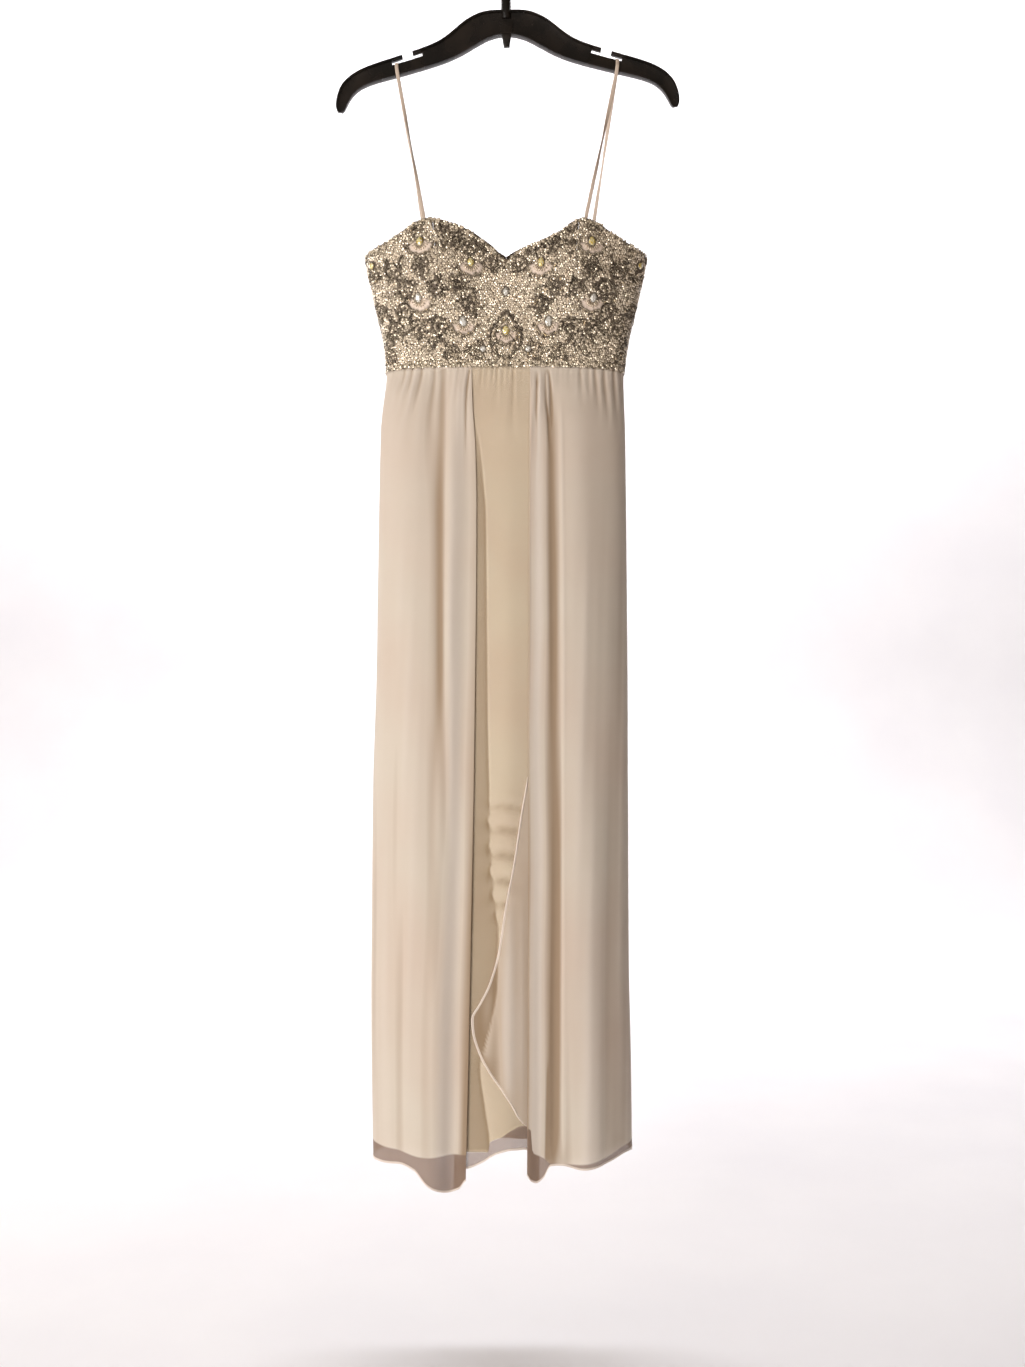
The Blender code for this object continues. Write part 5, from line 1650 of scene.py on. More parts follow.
@dataclass
class StoneSet:
    """Flat-backed faceted stones in small metal settings."""

    form: DressForm
    layers: Layers
    rows: Sequence[Sequence[float]] = (
        (0.000, -560, 9.5, 12.5), (0.000, -508, 8.0, 10.0), (0.085, -585, 8.0, 8.0), (0.115, -470, 9.0, 12.0),
        (0.155, -548, 10.0, 13.0), (0.275, -440, 9.5, 12.5), (0.300, -516, 9.0, 11.5), (0.450, -464, 9.0, 9.0),
        (0.700, -560, 10.0, 13.0), (0.760, -470, 9.0, 12.0),
    )
    gold_numbers: tuple[int, ...] = (1, 5, 6, 9, 10, 13, 14, 17, 18)
    depth: float = 3.0
    sides: int = 14

    def __post_init__(self) -> None:
        """Numbers the stones as the CAD does: pairs, the viewer's right first."""
        self.stones: list[Stone] = []
        for share, z, width, length in self.rows:
            for side in (1,) if share == 0 else (1, -1):
                number = len(self.stones) + 1
                gold = number in self.gold_numbers
                self.stones.append(Stone(f"crystal_{number:02d}", side * share, z, width, length, gold))

    def seat(self, stone: Stone) -> Matrix:
        """Finds where a stone sits.

        Args:
            stone: The stone.

        Returns:
            Its place and turn in mm: local X across, Y up the bodice and Z outward.
        """
        share, z = stone.share, stone.z
        here, side, above = (
            Vector(self.form.outside(np.float64(s), np.float64(h), self.layers.bodice(np.float64(s), np.float64(h))))
            for s, h in ((share, z), (share + 0.01, z), (share, z + 4))
        )
        across, upward = side - here, above - here
        outward = across.cross(upward).normalized()
        across = upward.cross(outward).normalized()
        turn = Matrix((across, outward.cross(across), outward)).transposed().to_4x4()
        return Matrix.Translation(here) @ turn

    def outline(self, stone: Stone, scale: float, z: float, seat: Matrix, start: float = 0.0) -> list[Vector]:
        """Draws a ring round a stone's teardrop.

        Args:
            stone: The stone.
            scale: Size of the ring against the stone.
            z: Height above the cloth.
            seat: Place and turn of the stone.
            start: Turn of the ring, in steps.

        Returns:
            The ring's points.
        """
        long = stone.length / stone.width
        ring = []
        for k in range(self.sides):
            angle = 2 * math.pi * (k + start) / self.sides
            x, y = math.cos(angle), math.sin(angle)
            taper = 1 - 0.28 * max(0.0, y) * (long - 1) / 0.3
            ring.append(seat @ Vector((x * taper * stone.width / 2 * scale, y * stone.length / 2 * scale, z)))
        return ring

    def cut(self, stones: Sequence[Stone], seed: int) -> Mesh:
        """Cuts stones with a girdle, two rows of facets and a table; each facet has its own tint, which picks its
        painted reflection.

        Args:
            stones: The stones.
            seed: Seed of the tints.

        Returns:
            One mesh of them all.
        """
        maker = bmesh.new()
        tint = maker.faces.layers.float.new("tint")
        draw = np.random.default_rng(seed)
        for stone in stones:
            seat = self.seat(stone)
            levels = ((1.02, 0.4), (1.06, 1.3), (0.82, 2.6), (0.46, 3.4))
            rings = [
                [maker.verts.new(p * MM) for p in self.outline(stone, scale, z, seat, 0.5 * (k % 2))]
                for k, (scale, z) in enumerate(levels)
            ]
            for low, high in zip(rings, rings[1:]):
                for k in range(self.sides):
                    m = (k + 1) % self.sides
                    if low is rings[1]:
                        tops = ((low[k], low[m], high[k]), (low[m], high[m], high[k]))
                    else:
                        tops = ((low[k], low[m], high[m]), (low[k], high[m], high[k]))
                    for corners in tops:
                        # A random tint paints each facet's reflection, bright or dark
                        maker.faces.new(corners)[tint] = float(draw.beta(0.9, 0.8))
            maker.faces.new(rings[-1])[tint] = float(draw.uniform(0.55, 0.9))
            maker.faces.new(rings[0][::-1])[tint] = 0.3
        bmesh.ops.recalc_face_normals(maker, faces=maker.faces)
        return mesh_of(maker, "stones")

    def settings(self) -> Mesh:
        """Makes the metal rims that hold the stones, with four claws each.

        Returns:
            One mesh of them all.
        """
        maker = bmesh.new()
        for stone in self.stones:
            seat = self.seat(stone)
            profile = ((1.1, 0.2), (1.16, 0.9), (1.13, 1.6), (1.06, 1.75), (1.03, 0.3))
            rings = [[maker.verts.new(p * MM) for p in self.outline(stone, s, z, seat)] for s, z in profile]
            for a in range(len(rings)):
                low, high = rings[a], rings[(a + 1) % len(rings)]
                for k in range(self.sides):
                    m = (k + 1) % self.sides
                    maker.faces.new((low[k], low[m], high[m], high[k]))
            for corner in range(4):
                angle = math.pi / 4 + corner * math.pi / 2
                place = seat @ Vector(
                    (math.cos(angle) * stone.width * 0.49, math.sin(angle) * stone.length * 0.47, 1.9)
                )
                bmesh.ops.create_icosphere(
                    maker, subdivisions=1, radius=0.75 * MM, matrix=Matrix.Translation(place * MM)
                )
        bmesh.ops.recalc_face_normals(maker, faces=maker.faces)
        for face in maker.faces:
            face.smooth = True
        return mesh_of(maker, "settings")

    def build(self, gold: Material, clear: Material, metal: Material) -> None:
        """Builds the gold stones, the clear stones and their settings.

        Args:
            gold: Finish of the gold stones.
            clear: Finish of the clear ones.
            metal: Finish of the settings.
        """
        for name, finish, slot, is_gold in (
            ("stones_gold", gold, Slot.GOLD_STONE, True),
            ("stones_clear", clear, Slot.CLEAR_STONE, False),
        ):
            chosen = [stone for stone in self.stones if stone.gold == is_gold]
            hand_over(name, self.cut(chosen, 5 + is_gold), [finish], [stone.node for stone in chosen])
        hand_over("stone_settings", self.settings(), [metal], [])


@dataclass
class BeadPoints:
    """Where beads are sewn: place, outward and along directions, size and tint of each."""

    place: Array
    outward: Array
    along: Array
    size: Array
    tint: Array

    def chosen(self, keep: Array) -> "BeadPoints":
        """Only some of the points."""
        return BeadPoints(self.place[keep], self.outward[keep], self.along[keep], self.size[keep], self.tint[keep])


def place_tree(side: Array, z: Array) -> KDTree:
    """Sorts places so that near ones are found fast.

    Args:
        side: Places round the bodice, mm.
        z: Heights.

    Returns:
        The sorted places.
    """
    tree = KDTree(len(side))
    for k, (s, h) in enumerate(zip(side, z)):
        tree.insert((s, h, 0.0), k)
    tree.balance()
    return tree


@dataclass
class BeadSewer:
    """Geometry Nodes tree that sews one kind of bead on every point of a mesh."""

    shape: BeadShape
    width: float
    height: float
    tilt: float
    seed: int

    def tree(self, finish: Material) -> Tree:
        """Builds the tree.

        Args:
            finish: Material of the beads.

        Returns:
            A tree with the sizes, the tilt and the seed as named inputs.
        """
        tree = bpy.data.node_groups.new(f"sewn {self.shape.value}", "GeometryNodeTree")
        face = tree.interface
        face.new_socket("Geometry", in_out="INPUT", socket_type="NodeSocketGeometry")
        for name, kind in (("Width", "Float"), ("Height", "Float"), ("Tilt", "Float"), ("Seed", "Int")):
            face.new_socket(name, in_out="INPUT", socket_type=f"NodeSocket{kind}")
        face.new_socket("Geometry", in_out="OUTPUT", socket_type="NodeSocketGeometry")
        given = add_node(tree, "NodeGroupInput").outputs
        radius = add_node(tree, "ShaderNodeMath", {0: given["Width"], 1: 0.5}, operation="MULTIPLY")
        if self.shape is BeadShape.SEQUIN:
            size = {"Vertices": 6, "Radius Top": 0.0, "Radius Bottom": radius, "Depth": given["Height"]}
            solid = add_node(tree, "GeometryNodeMeshCone", size)
        elif self.shape is BeadShape.ROUND:
            solid = add_node(tree, "GeometryNodeMeshIcoSphere", {"Radius": radius, "Subdivisions": 1})
        else:
            size = {"Vertices": 6, "Radius": radius, "Depth": given["Height"]}
            bar = add_node(tree, "GeometryNodeMeshCylinder", size)
            lying = {"Geometry": bar, "Rotation": (0.0, math.pi / 2, 0.0)}
            solid = add_node(tree, "GeometryNodeTransform", lying)
        rounded = {"Geometry": solid, "Shade Smooth": self.shape is not BeadShape.SEQUIN}
        smooth = add_node(tree, "GeometryNodeSetShadeSmooth", rounded)
        outward, along, scale = (
            add_node(tree, "GeometryNodeInputNamedAttribute", {"Name": mark}, data_type=kind)
            for mark, kind in (("outward", "FLOAT_VECTOR"), ("along", "FLOAT_VECTOR"), ("size", "FLOAT"))
        )
        stand = add_node(tree, "FunctionNodeAlignRotationToVector", {"Vector": outward}, axis="Z")
        ways = {"Rotation": stand, "Vector": along}
        lie = add_node(tree, "FunctionNodeAlignRotationToVector", ways, axis="X", pivot_axis="Z")
        less = add_node(tree, "ShaderNodeMath", {0: given["Tilt"], 1: -1.0}, operation="MULTIPLY")
        low = add_node(tree, "ShaderNodeCombineXYZ", {0: less, 1: less, 2: less})
        high = add_node(tree, "ShaderNodeCombineXYZ", {k: given["Tilt"] for k in range(3)})
        limits = {0: low, 1: high, "Seed": given["Seed"]}
        shake = add_node(tree, "FunctionNodeRandomValue", limits, data_type="FLOAT_VECTOR")
        turn = add_node(tree, "FunctionNodeEulerToRotation", {"Euler": shake})
        turned = {"Rotation": lie, "Rotate By": turn}
        loose = add_node(tree, "FunctionNodeRotateRotation", turned, rotation_space="LOCAL")
        places = {"Points": given["Geometry"], "Instance": smooth, "Rotation": loose, "Scale": scale}
        sewn = add_node(tree, "GeometryNodeInstanceOnPoints", places)
        real = add_node(tree, "GeometryNodeRealizeInstances", {"Geometry": sewn})
        dressed = add_node(tree, "GeometryNodeSetMaterial", {"Geometry": real, "Material": finish})
        add_node(tree, "NodeGroupOutput", {"Geometry": dressed})
        return tree

    def sew(self, name: str, points: BeadPoints, finish: Material, slot: Slot) -> Piece:
        """Sews the beads and makes them one plain mesh.

        Args:
            name: Name of the piece.
            points: Where the beads go.
            finish: Their material.
            slot: Slot of the library that the material would fill; not used.

        Returns:
            The piece, which rides on the dress.
        """
        mesh = bpy.data.meshes.new(name)
        mesh.from_pydata((points.place * MM).tolist(), [], [])
        for mark, values in (("outward", points.outward), ("along", points.along)):
            layer = mesh.attributes.new(mark, "FLOAT_VECTOR", "POINT")
            layer.data.foreach_set("vector", values.astype(np.float32).ravel())
        set_numbers(mesh, "size", points.size)
        set_numbers(mesh, "tint", points.tint)
        holder = in_scene(name, mesh)
        tree = self.tree(finish)
        step = holder.modifiers.new("sewing", "NODES")
        step.node_group = tree
        values = {
            "Width": self.width * MM,
            "Height": self.height * MM,
            "Tilt": math.radians(self.tilt),
            "Seed": self.seed,
        }
        for socket in tree.interface.items_tree:
            if socket.item_type == "SOCKET" and socket.name in values:
                step[socket.identifier] = values[socket.name]
        done = bpy.data.meshes.new_from_object(holder.evaluated_get(bpy.context.evaluated_depsgraph_get()))
        bpy.data.objects.remove(holder)
        for mark in ("outward", "along", "size"):
            if mark in done.attributes:
                done.attributes.remove(done.attributes[mark])
        return hand_over(name, done, [finish], [])


@dataclass
class Bodice:
    """Five stretched panels of tulle over lining, and the beadwork sewn on them.

    The beadwork is laid out flat, in millimetres to the side of the centre front and heights, then wrapped.
    """

    form: DressForm
    layers: Layers
    stones: StoneSet
    wall: float = 1.3
    flat_scale: float = 415.0
    princess_top: float = 0.235
    princess_waist: float = 0.200
    fill_spacing: float = 3.35
    string_spacing: float = 2.5

    def princess(self, z: Array) -> Array:
        """Share of the front's princess seam at a height."""
        up = (z - WAIST_Z) / (NECK_TOP_Z - WAIST_Z)
        return self.princess_waist + (self.princess_top - self.princess_waist) * up

    def bare_places(self) -> list[tuple[float, float, float]]:
        """Finds the fans of bare tulle below the longer stones.

        Returns:
            Their middles and radii.
        """
        return [
            (stone.share * self.flat_scale, stone.z + 2.0, 19.5)
            for stone in self.stones.stones
            if stone.length > 10.5
        ]

    def bareness(self, side: Array, z: Array) -> Array:
        """Tells where the tulle is left bare.

        Args:
            side: Places round the bodice, mm.
            z: Heights.

        Returns:
            1 inside the bare fans, 0 outside.
        """
        bare = np.zeros(np.broadcast(side, z).shape)
        for s, h, reach in self.bare_places():
            turn = np.arctan2(side - s, h - z)
            scallop = reach * (0.9 + 0.1 * np.abs(np.cos(turn * 4.5)))
            inside = ease((scallop - np.hypot(side - s, z - h)) / 1.5)
            bare = np.maximum(bare, inside * ease((1.25 - np.abs(turn)) / 0.15))
        return bare

    def build_panels(self, tulle: Material, satin: Material) -> list[Piece]:
        """Builds the five panels.

        Args:
            tulle: Finish of their outer face.
            satin: Finish of their inner face.

        Returns:
            The panels.
        """

        def seam(share: float, inward: int) -> Callable[[Array], Array]:
            """Edge at a straight seam."""
            return lambda z: share + inward * SEAM_GAP / 2 / self.form.half_girth(z)

        def princess(side: int, inward: int) -> Callable[[Array], Array]:
            """Edge at a princess seam."""
            return lambda z: side * (self.princess(z) + inward * SEAM_GAP / 2 / self.form.half_girth(z))

        plans = (
            ("bodice_centre_front", princess(-1, -1), princess(1, -1), (0.2, 0.205)),
            ("bodice_side_front_left", seam(-0.5, 1), princess(-1, 1), (0.135, 0.2)),
            ("bodice_side_front_right", princess(1, 1), seam(0.5, -1), (0.135, 0.2)),
            ("bodice_back_right", seam(0.5, 1), seam(1.0, -1), (0.21, 0.19)),
            ("bodice_back_left", seam(-1.0, 1), seam(-0.5, -1), (0.21, 0.19)),
        )
        panels = []
        for node, left, right, flat in plans:
            columns, rows = 70, 56
            u = np.linspace(0, 1, columns)[None, :]
            t = np.concatenate([np.linspace(0, 0.04, 5)[:-1], np.linspace(0.04, 1, rows - 4)])[:, None]
            z = np.full((rows, columns), NECK_TOP_Z)
            for _ in range(4):
                share = left(z) * (1 - u) + right(z) * u
                top = self.layers.neckline(share)
                z = top + (WAIST_Z - top) * t
            along = share * self.form.half_girth(z)
            seam_near = np.minimum(along - along[:, :1], along[:, -1:] - along)
            dip = -0.7 * bell(seam_near, 2.2)
            rolled = -0.9 * bell(top - z, 1.6)
            soft = Ripple((37.0, 61.0), 77)(along, z) * 0.35
            offset = self.layers.bodice(share, z) - 0.25 + dip + rolled + soft
            side = share * self.flat_scale
            marks = {"bare": self.bareness(side, z)}
            sheet = ClothSheet(self.form.outside(share, z, offset), self.wall, 0.0, False, marks, True)
            piece = hand_over(f"{node}_tulle", sheet.mesh(node), [tulle, satin], [node])
            LOG.info("    cloth %.4f m2", area_of(piece))
            panels.append(piece)
        return panels

    def wrap(self, side: Array, z: Array, lift: Array, along: Array, size: Array, tint: Array) -> BeadPoints:
        """Wraps flat bead places round the bodice.

        Args:
            side: Distance to the side of the centre front, mm.
            z: Heights.
            lift: How far each bead's seat stands off the cloth.
            along: Flat direction of each bead, as an angle from level.
            size: Scale of each bead.
            tint: Tint of each bead.

        Returns:
            The points to sew at.
        """
        share = side / self.flat_scale

        def at(s: Array, h: Array, out: Array = 0.0) -> Array:
            """Point on the bodice's face."""
            return self.form.outside(s, h, self.layers.bodice(s, h) + out)

        across = at(share + 0.004, z) - at(share - 0.004, z)
        upward = at(share, z + 1.5) - at(share, z - 1.5)
        across /= np.linalg.norm(across, axis=1, keepdims=True)
        upward /= np.linalg.norm(upward, axis=1, keepdims=True)
        outward = np.cross(across, upward)
        outward /= np.linalg.norm(outward, axis=1, keepdims=True)
        run = across * np.cos(along)[:, None] + upward * np.sin(along)[:, None]
        return BeadPoints(at(share, z) + outward * lift[:, None], outward, run, size, tint)

    def scroll(self, side: float, z: float, size: float, start: float, way: int) -> list[Array]:
        """Strings of one scroll: a spiral with an inner curl, a tail and small leaves.

        Args:
            side: Its middle to the side of the centre front.
            z: Its height.
            size: Its outer radius.
            start: Angle at which it begins.
            way: 1 or -1, the way it turns.

        Returns:
            Flat polylines of (side, z).
        """
        t = np.linspace(0, 1, 90)
        angle = start + way * 2 * np.pi * 1.55 * t
        radius = size * (0.12 + 0.8 * t**0.9)
        lines = [np.stack([side + radius * np.cos(angle), z + radius * np.sin(angle)], axis=1)]
        end = angle[-1]
        swing = end + way * np.pi / 2 + way * 1.9 * (0.5 - t)
        steps = np.stack([np.cos(swing), np.sin(swing)], axis=1) * size * 0.018
        lines.append(lines[0][-1] + np.cumsum(steps, axis=0))
        for leaf in (0.42, 0.62, 0.84):
            k = int(leaf * 89)
            out = angle[k] - way * 0.5
            bend = 2 * np.pi * t
            reach, half = size * 0.26, size * 0.13
            along, across = reach * (1 - np.cos(bend)), half * np.sin(bend)
            lines.append(
                lines[0][k]
                + np.stack(
                    [along * np.cos(out) - across * np.sin(out), along * np.sin(out) + across * np.cos(out)], axis=1
                )
            )
        return lines

    def flower(self, side: float, z: float, size: float, start: float, petals: int) -> list[Array]:
        """Draws one flower: two rings and a row of petals.

        Args:
            side: Its place round the bodice, mm.
            z: Its height.
            size: Its radius.
            start: Turn of the petals.
            petals: How many petals it has.

        Returns:
            Its strings.
        """
        turn = np.linspace(0, 2 * np.pi, 120)
        waved = size * (0.62 + 0.34 * np.abs(np.cos(petals * (turn - start) / 2)))
        lines = []
        for radius in (size * 0.2, size * 0.42, waved):
            lines.append(np.stack([side + radius * np.cos(turn), z + radius * np.sin(turn)], axis=1))
        return lines

    def strings(self) -> list[tuple[Array, float]]:
        """Lines of beads on one half of the bodice, each with its tint.

        Returns:
            Flat polylines of (side, z) and a tint.
        """
        lines: list[tuple[Array, float]] = []
        t = np.linspace(0, 1, 160)
        for scale, tint in ((1.0, 0.2), (0.86, 0.5), (0.6, 0.3)):
            bulge = 25 * scale * np.sin(np.pi * t**0.85)
            lines.append((np.stack([bulge, -600 + 66 * scale * t], axis=1), tint))
        draw = np.random.default_rng(77)
        for row, height in enumerate(np.arange(-588.0, -405.0, 29.0)):
            for column, side in enumerate(np.arange(16.0 + 17.0 * (row % 2), 402.0, 34.0)):
                s, h = side + draw.uniform(-4, 4), height + draw.uniform(-3.5, 3.5)
                size = draw.uniform(12.0, 15.5)
                start, way = draw.uniform(0, 2 * np.pi), 1 if (row + column) % 2 else -1
                if row < 3 and s < 30 or self.bareness(np.float64(s), np.float64(h)) > 0.6:
                    continue
                if (row + 2 * column) % 5 in (1, 3):
                    continue
                if (row * 2 + column) % 4 == 3:
                    made = self.flower(s, h, size * 0.86, start, int(draw.integers(5, 8)))
                else:
                    made = self.scroll(s, h, size, start, way)
                lines += [(line[line[:, 0] > 0.8], float(draw.choice((0.16, 0.24, 0.42)))) for line in made]
        for s, h, reach in self.bare_places():
            if s >= 0:
                turn = 2.6 * (t - 0.5)
                scallop = reach * (0.98 + 0.1 * np.abs(np.cos(turn * 4.5)))
                lines.append((np.stack([s + scallop * np.sin(turn), h - scallop * np.cos(turn)], axis=1), 0.45))
        return [(line, tint) for line, tint in lines if len(line) > 3]

    def sewn_strings(self, draw: np.random.Generator) -> tuple[Array, Array, Array, Array]:
        """Beads along every line, on both halves, without those that crowd each other.

        Args:
            draw: Source of the small differences between beads.

        Returns:
            Sides, heights, directions and tints.
        """
        sides, heights, angles, tints = [], [], [], []
        lines = self.strings()
        mirrored = [(line * np.array([-1.0, 1.0]), tint) for line, tint in lines]
        for line, tint in lines + mirrored:
            walked = np.concatenate([[0.0], np.cumsum(np.linalg.norm(np.diff(line, axis=0), axis=1))])
            wanted = np.arange(0, walked[-1], self.string_spacing)
            side, z = np.interp(wanted, walked, line[:, 0]), np.interp(wanted, walked, line[:, 1])
            angle = np.arctan2(np.gradient(z), np.gradient(side)) if len(side) > 1 else np.zeros_like(side)
            sides.append(side + draw.normal(0, 0.2, len(side)))
            heights.append(z + draw.normal(0, 0.2, len(z)))
            angles.append(angle)
            mixed = draw.choice((-0.14, 0.0, 0.14, 0.5), len(side), p=(0.3, 0.34, 0.22, 0.14))
            tints.append(np.clip(tint + mixed + draw.normal(0, 0.05, len(side)), 0, 1))
        side, z, angle, tint = (np.concatenate(part) for part in (sides, heights, angles, tints))
        keep = self.clear_of_edges(side, z, 2.6) & (z > WAIST_Z + 9)
        side, z, angle, tint = side[keep], z[keep], angle[keep], tint[keep]
        tree = place_tree(side, z)
        kept = np.ones(len(side), bool)
        for k, (s, h) in enumerate(zip(side, z)):
            if kept[k]:
                for _, other, _ in tree.find_range((s, h, 0.0), self.string_spacing * 0.72):
                    if other > k:
                        kept[other] = False
        return side[kept], z[kept], angle[kept], tint[kept]

    def clear_of_edges(self, side: Array, z: Array, margin: float) -> Array:
        """Tells which beads lie on the cloth, off the zip and off the stones.

        Args:
            side: Places round the bodice, mm.
            z: Heights.
            margin: Distance kept from the top edge.

        Returns:
            True for each bead that does.
        """
        inside = (z < self.layers.neckline(side / self.flat_scale) - margin) & (z > WAIST_Z - 0.6)
        inside &= np.abs(side) < self.flat_scale - 4.5
        for stone in self.stones.stones:
            s = stone.share * self.flat_scale
            near = np.hypot((side - s) / (stone.width * 0.5 + 1.9), (z - stone.z) / (stone.length * 0.5 + 1.9))
            inside &= near > 1
        return inside

    def fill_points(self, taken_side: Array, taken_z: Array, draw: np.random.Generator) -> tuple[Array, Array, Array]:
        """Loose beads that fill the ground between the strings.

        Args:
            taken_side: Sides of the beads that are already there.
            taken_z: Their heights.
            draw: Source of the scatter.

        Returns:
            Sides, heights and tints.
        """
        rows = np.arange(WAIST_Z + 10.5, -404.0, self.fill_spacing * 0.866)
        columns = np.arange(-self.flat_scale, self.flat_scale, self.fill_spacing)
        z, side = np.meshgrid(rows, columns, indexing="ij")
        side = side + (np.arange(len(rows)) % 2)[:, None] * self.fill_spacing / 2
        side = (side + draw.uniform(-0.8, 0.8, side.shape)).ravel()
        z = (z + draw.uniform(-0.8, 0.8, z.shape)).ravel()
        keep = self.clear_of_edges(side, z, 5.4) & (self.bareness(side, z) < 0.35)
        side, z = side[keep], z[keep]
        tree = place_tree(taken_side, taken_z)
        gap = np.array([tree.find((s, h, 0.0))[2] for s, h in zip(side, z)])
        free = gap > 1.9
        side, z, gap = side[free], z[free], gap[free]
        mirror = np.abs(side)
        cloud = Ripple((23.0, 37.0, 58.0), 31)(mirror, z * 2.2) + 0.8 * Ripple((19.0, 31.0), 32)(z, mirror * 2.0)
        tint = 0.75 - 0.06 * cloud + draw.choice((-0.3, -0.1, 0.0, 0.08), len(side), p=(0.06, 0.2, 0.4, 0.34))
        dark = 0.5 * ease((5.0 - gap) / 1.6)
        for s, h, a, b in (
            (48, -520, 8, 24), (122, -572, 16, 20), (40, -455, 18, 7), (150, -505, 9, 18), (172, -440, 12, 10),
            (186, -575, 10, 20), (84, -440, 8, 16), (206, -540, 7, 26), (250, -520, 10, 22),
            (280, -575, 14, 16), (312, -455, 16, 12), (352, -500, 9, 24), (398, -525, 8, 22),
            (340, -575, 12, 14),
        ):
            reach = np.hypot((mirror - s) / a, (z - h) / b) + 0.16 * cloud
            dark = np.maximum(dark, 0.94 * ease((1.3 - reach) / 0.6))
        pewter = draw.choice((0.1, 0.32, 0.52, 0.84), len(side), p=(0.24, 0.34, 0.22, 0.2))
        tint = np.where(draw.random(len(side)) < dark, pewter + draw.normal(0, 0.05, len(side)), tint)
        return side, z, np.clip(tint, 0, 1)

    def border_points(self, draw: np.random.Generator) -> tuple[Array, Array, Array]:
        """Rows of larger pale sequins along the waist and the top edge.

        Args:
            draw: Source of the scatter.

        Returns:
            Sides, heights and tints.
        """
        step = np.arange(-self.flat_scale + 6, self.flat_scale - 6, 3.3)
        rows = [(np.full_like(step, WAIST_Z + up), 0.62) for up in (0.7, 3.9, 7.0)]
        neck = self.layers.neckline(step / self.flat_scale)
        rows += [(neck - 1.7, 0.66), (neck - 4.3, 0.6)]
        side, z, tint = [], [], []
        for k, (height, shade) in enumerate(rows):
            side.append(step + (k % 2) * 1.65 + draw.normal(0, 0.8, len(step)))
            z.append(height + draw.normal(0, 0.7, len(step)))
            tint.append(shade + draw.choice((-0.35, -0.1, 0.05, 0.2), len(step)))
        side, z, tint = np.concatenate(side), np.concatenate(z), np.concatenate(tint)
        keep = self.clear_of_edges(side, z, 0.6)
        return side[keep], z[keep], np.clip(tint[keep], 0, 1)

    def build_beadwork(self, sequin: Material, bead: Material) -> None:
        """Sews sequins, strings of round beads and bugle rays, front and back apart.

        Args:
            sequin: Finish of the sequins.
            bead: Finish of the beads.
        """
        draw = np.random.default_rng(2024)
        side, z, angle, tint = self.sewn_strings(draw)
        fill_side, fill_z, fill_tint = self.fill_points(side, z, draw)
        count = len(side)
        beads = self.wrap(side, z, np.full(count, 0.75), angle, draw.uniform(0.85, 1.15, count), tint)
        count = len(fill_side)
        spin = draw.uniform(0, 2 * np.pi, count)
        fill = self.wrap(fill_side, fill_z, np.full(count, 0.35), spin, draw.uniform(0.82, 1.15, count), fill_tint)
        edge_side, edge_z, edge_tint = self.border_points(draw)
        count = len(edge_side)
        spin = draw.uniform(0, 2 * np.pi, count)
        edge = self.wrap(edge_side, edge_z, np.full(count, 0.5), spin, draw.uniform(0.9, 1.15, count), edge_tint)
        ray_side, ray_z, ray_angle, ray_tint = [], [], [], []
        for stone in self.stones.stones:
            middle, reach = stone.share * self.flat_scale, stone.length * 0.5
            if stone.length > 10.5:
                for k in range(8):
                    turn = math.radians(-153 + 18 * k)
                    ray_side.append(middle + math.cos(turn) * (stone.width * 0.5 + 4.2))
                    ray_z.append(stone.z + math.sin(turn) * (reach + 4.0))
                    ray_angle.append(turn)
                    ray_tint.append(0.86 if k % 2 else 0.6)
        rays = self.wrap(
            np.array(ray_side),
            np.array(ray_z),
            np.full(len(ray_side), 0.8),
            np.array(ray_angle),
            np.ones(len(ray_side)),
            np.array(ray_tint),
        )
        for half, name in ((True, "front"), (False, "back")):
            for points, sewer, finish, what in (
                (fill, BeadSewer(BeadShape.SEQUIN, 3.9, 0.95, 25.0, 11), sequin, "sequins"),
                (edge, BeadSewer(BeadShape.SEQUIN, 4.5, 1.1, 30.0, 14), sequin, "edge_sequins"),
                (beads, BeadSewer(BeadShape.ROUND, 2.6, 2.6, 8.0, 12), bead, "beads"),
                (rays, BeadSewer(BeadShape.BUGLE, 1.6, 6.0, 3.0, 13), bead, "bugles"),
            ):
                keep = (points.place[:, 1] < 0) == half
                sewer.sew(f"bodice_{what}_{name}", points.chosen(keep), finish, Slot.BEADED_CLOTH)


# ---------------------------------------------------------------- ribbons, zip, hanger and hook


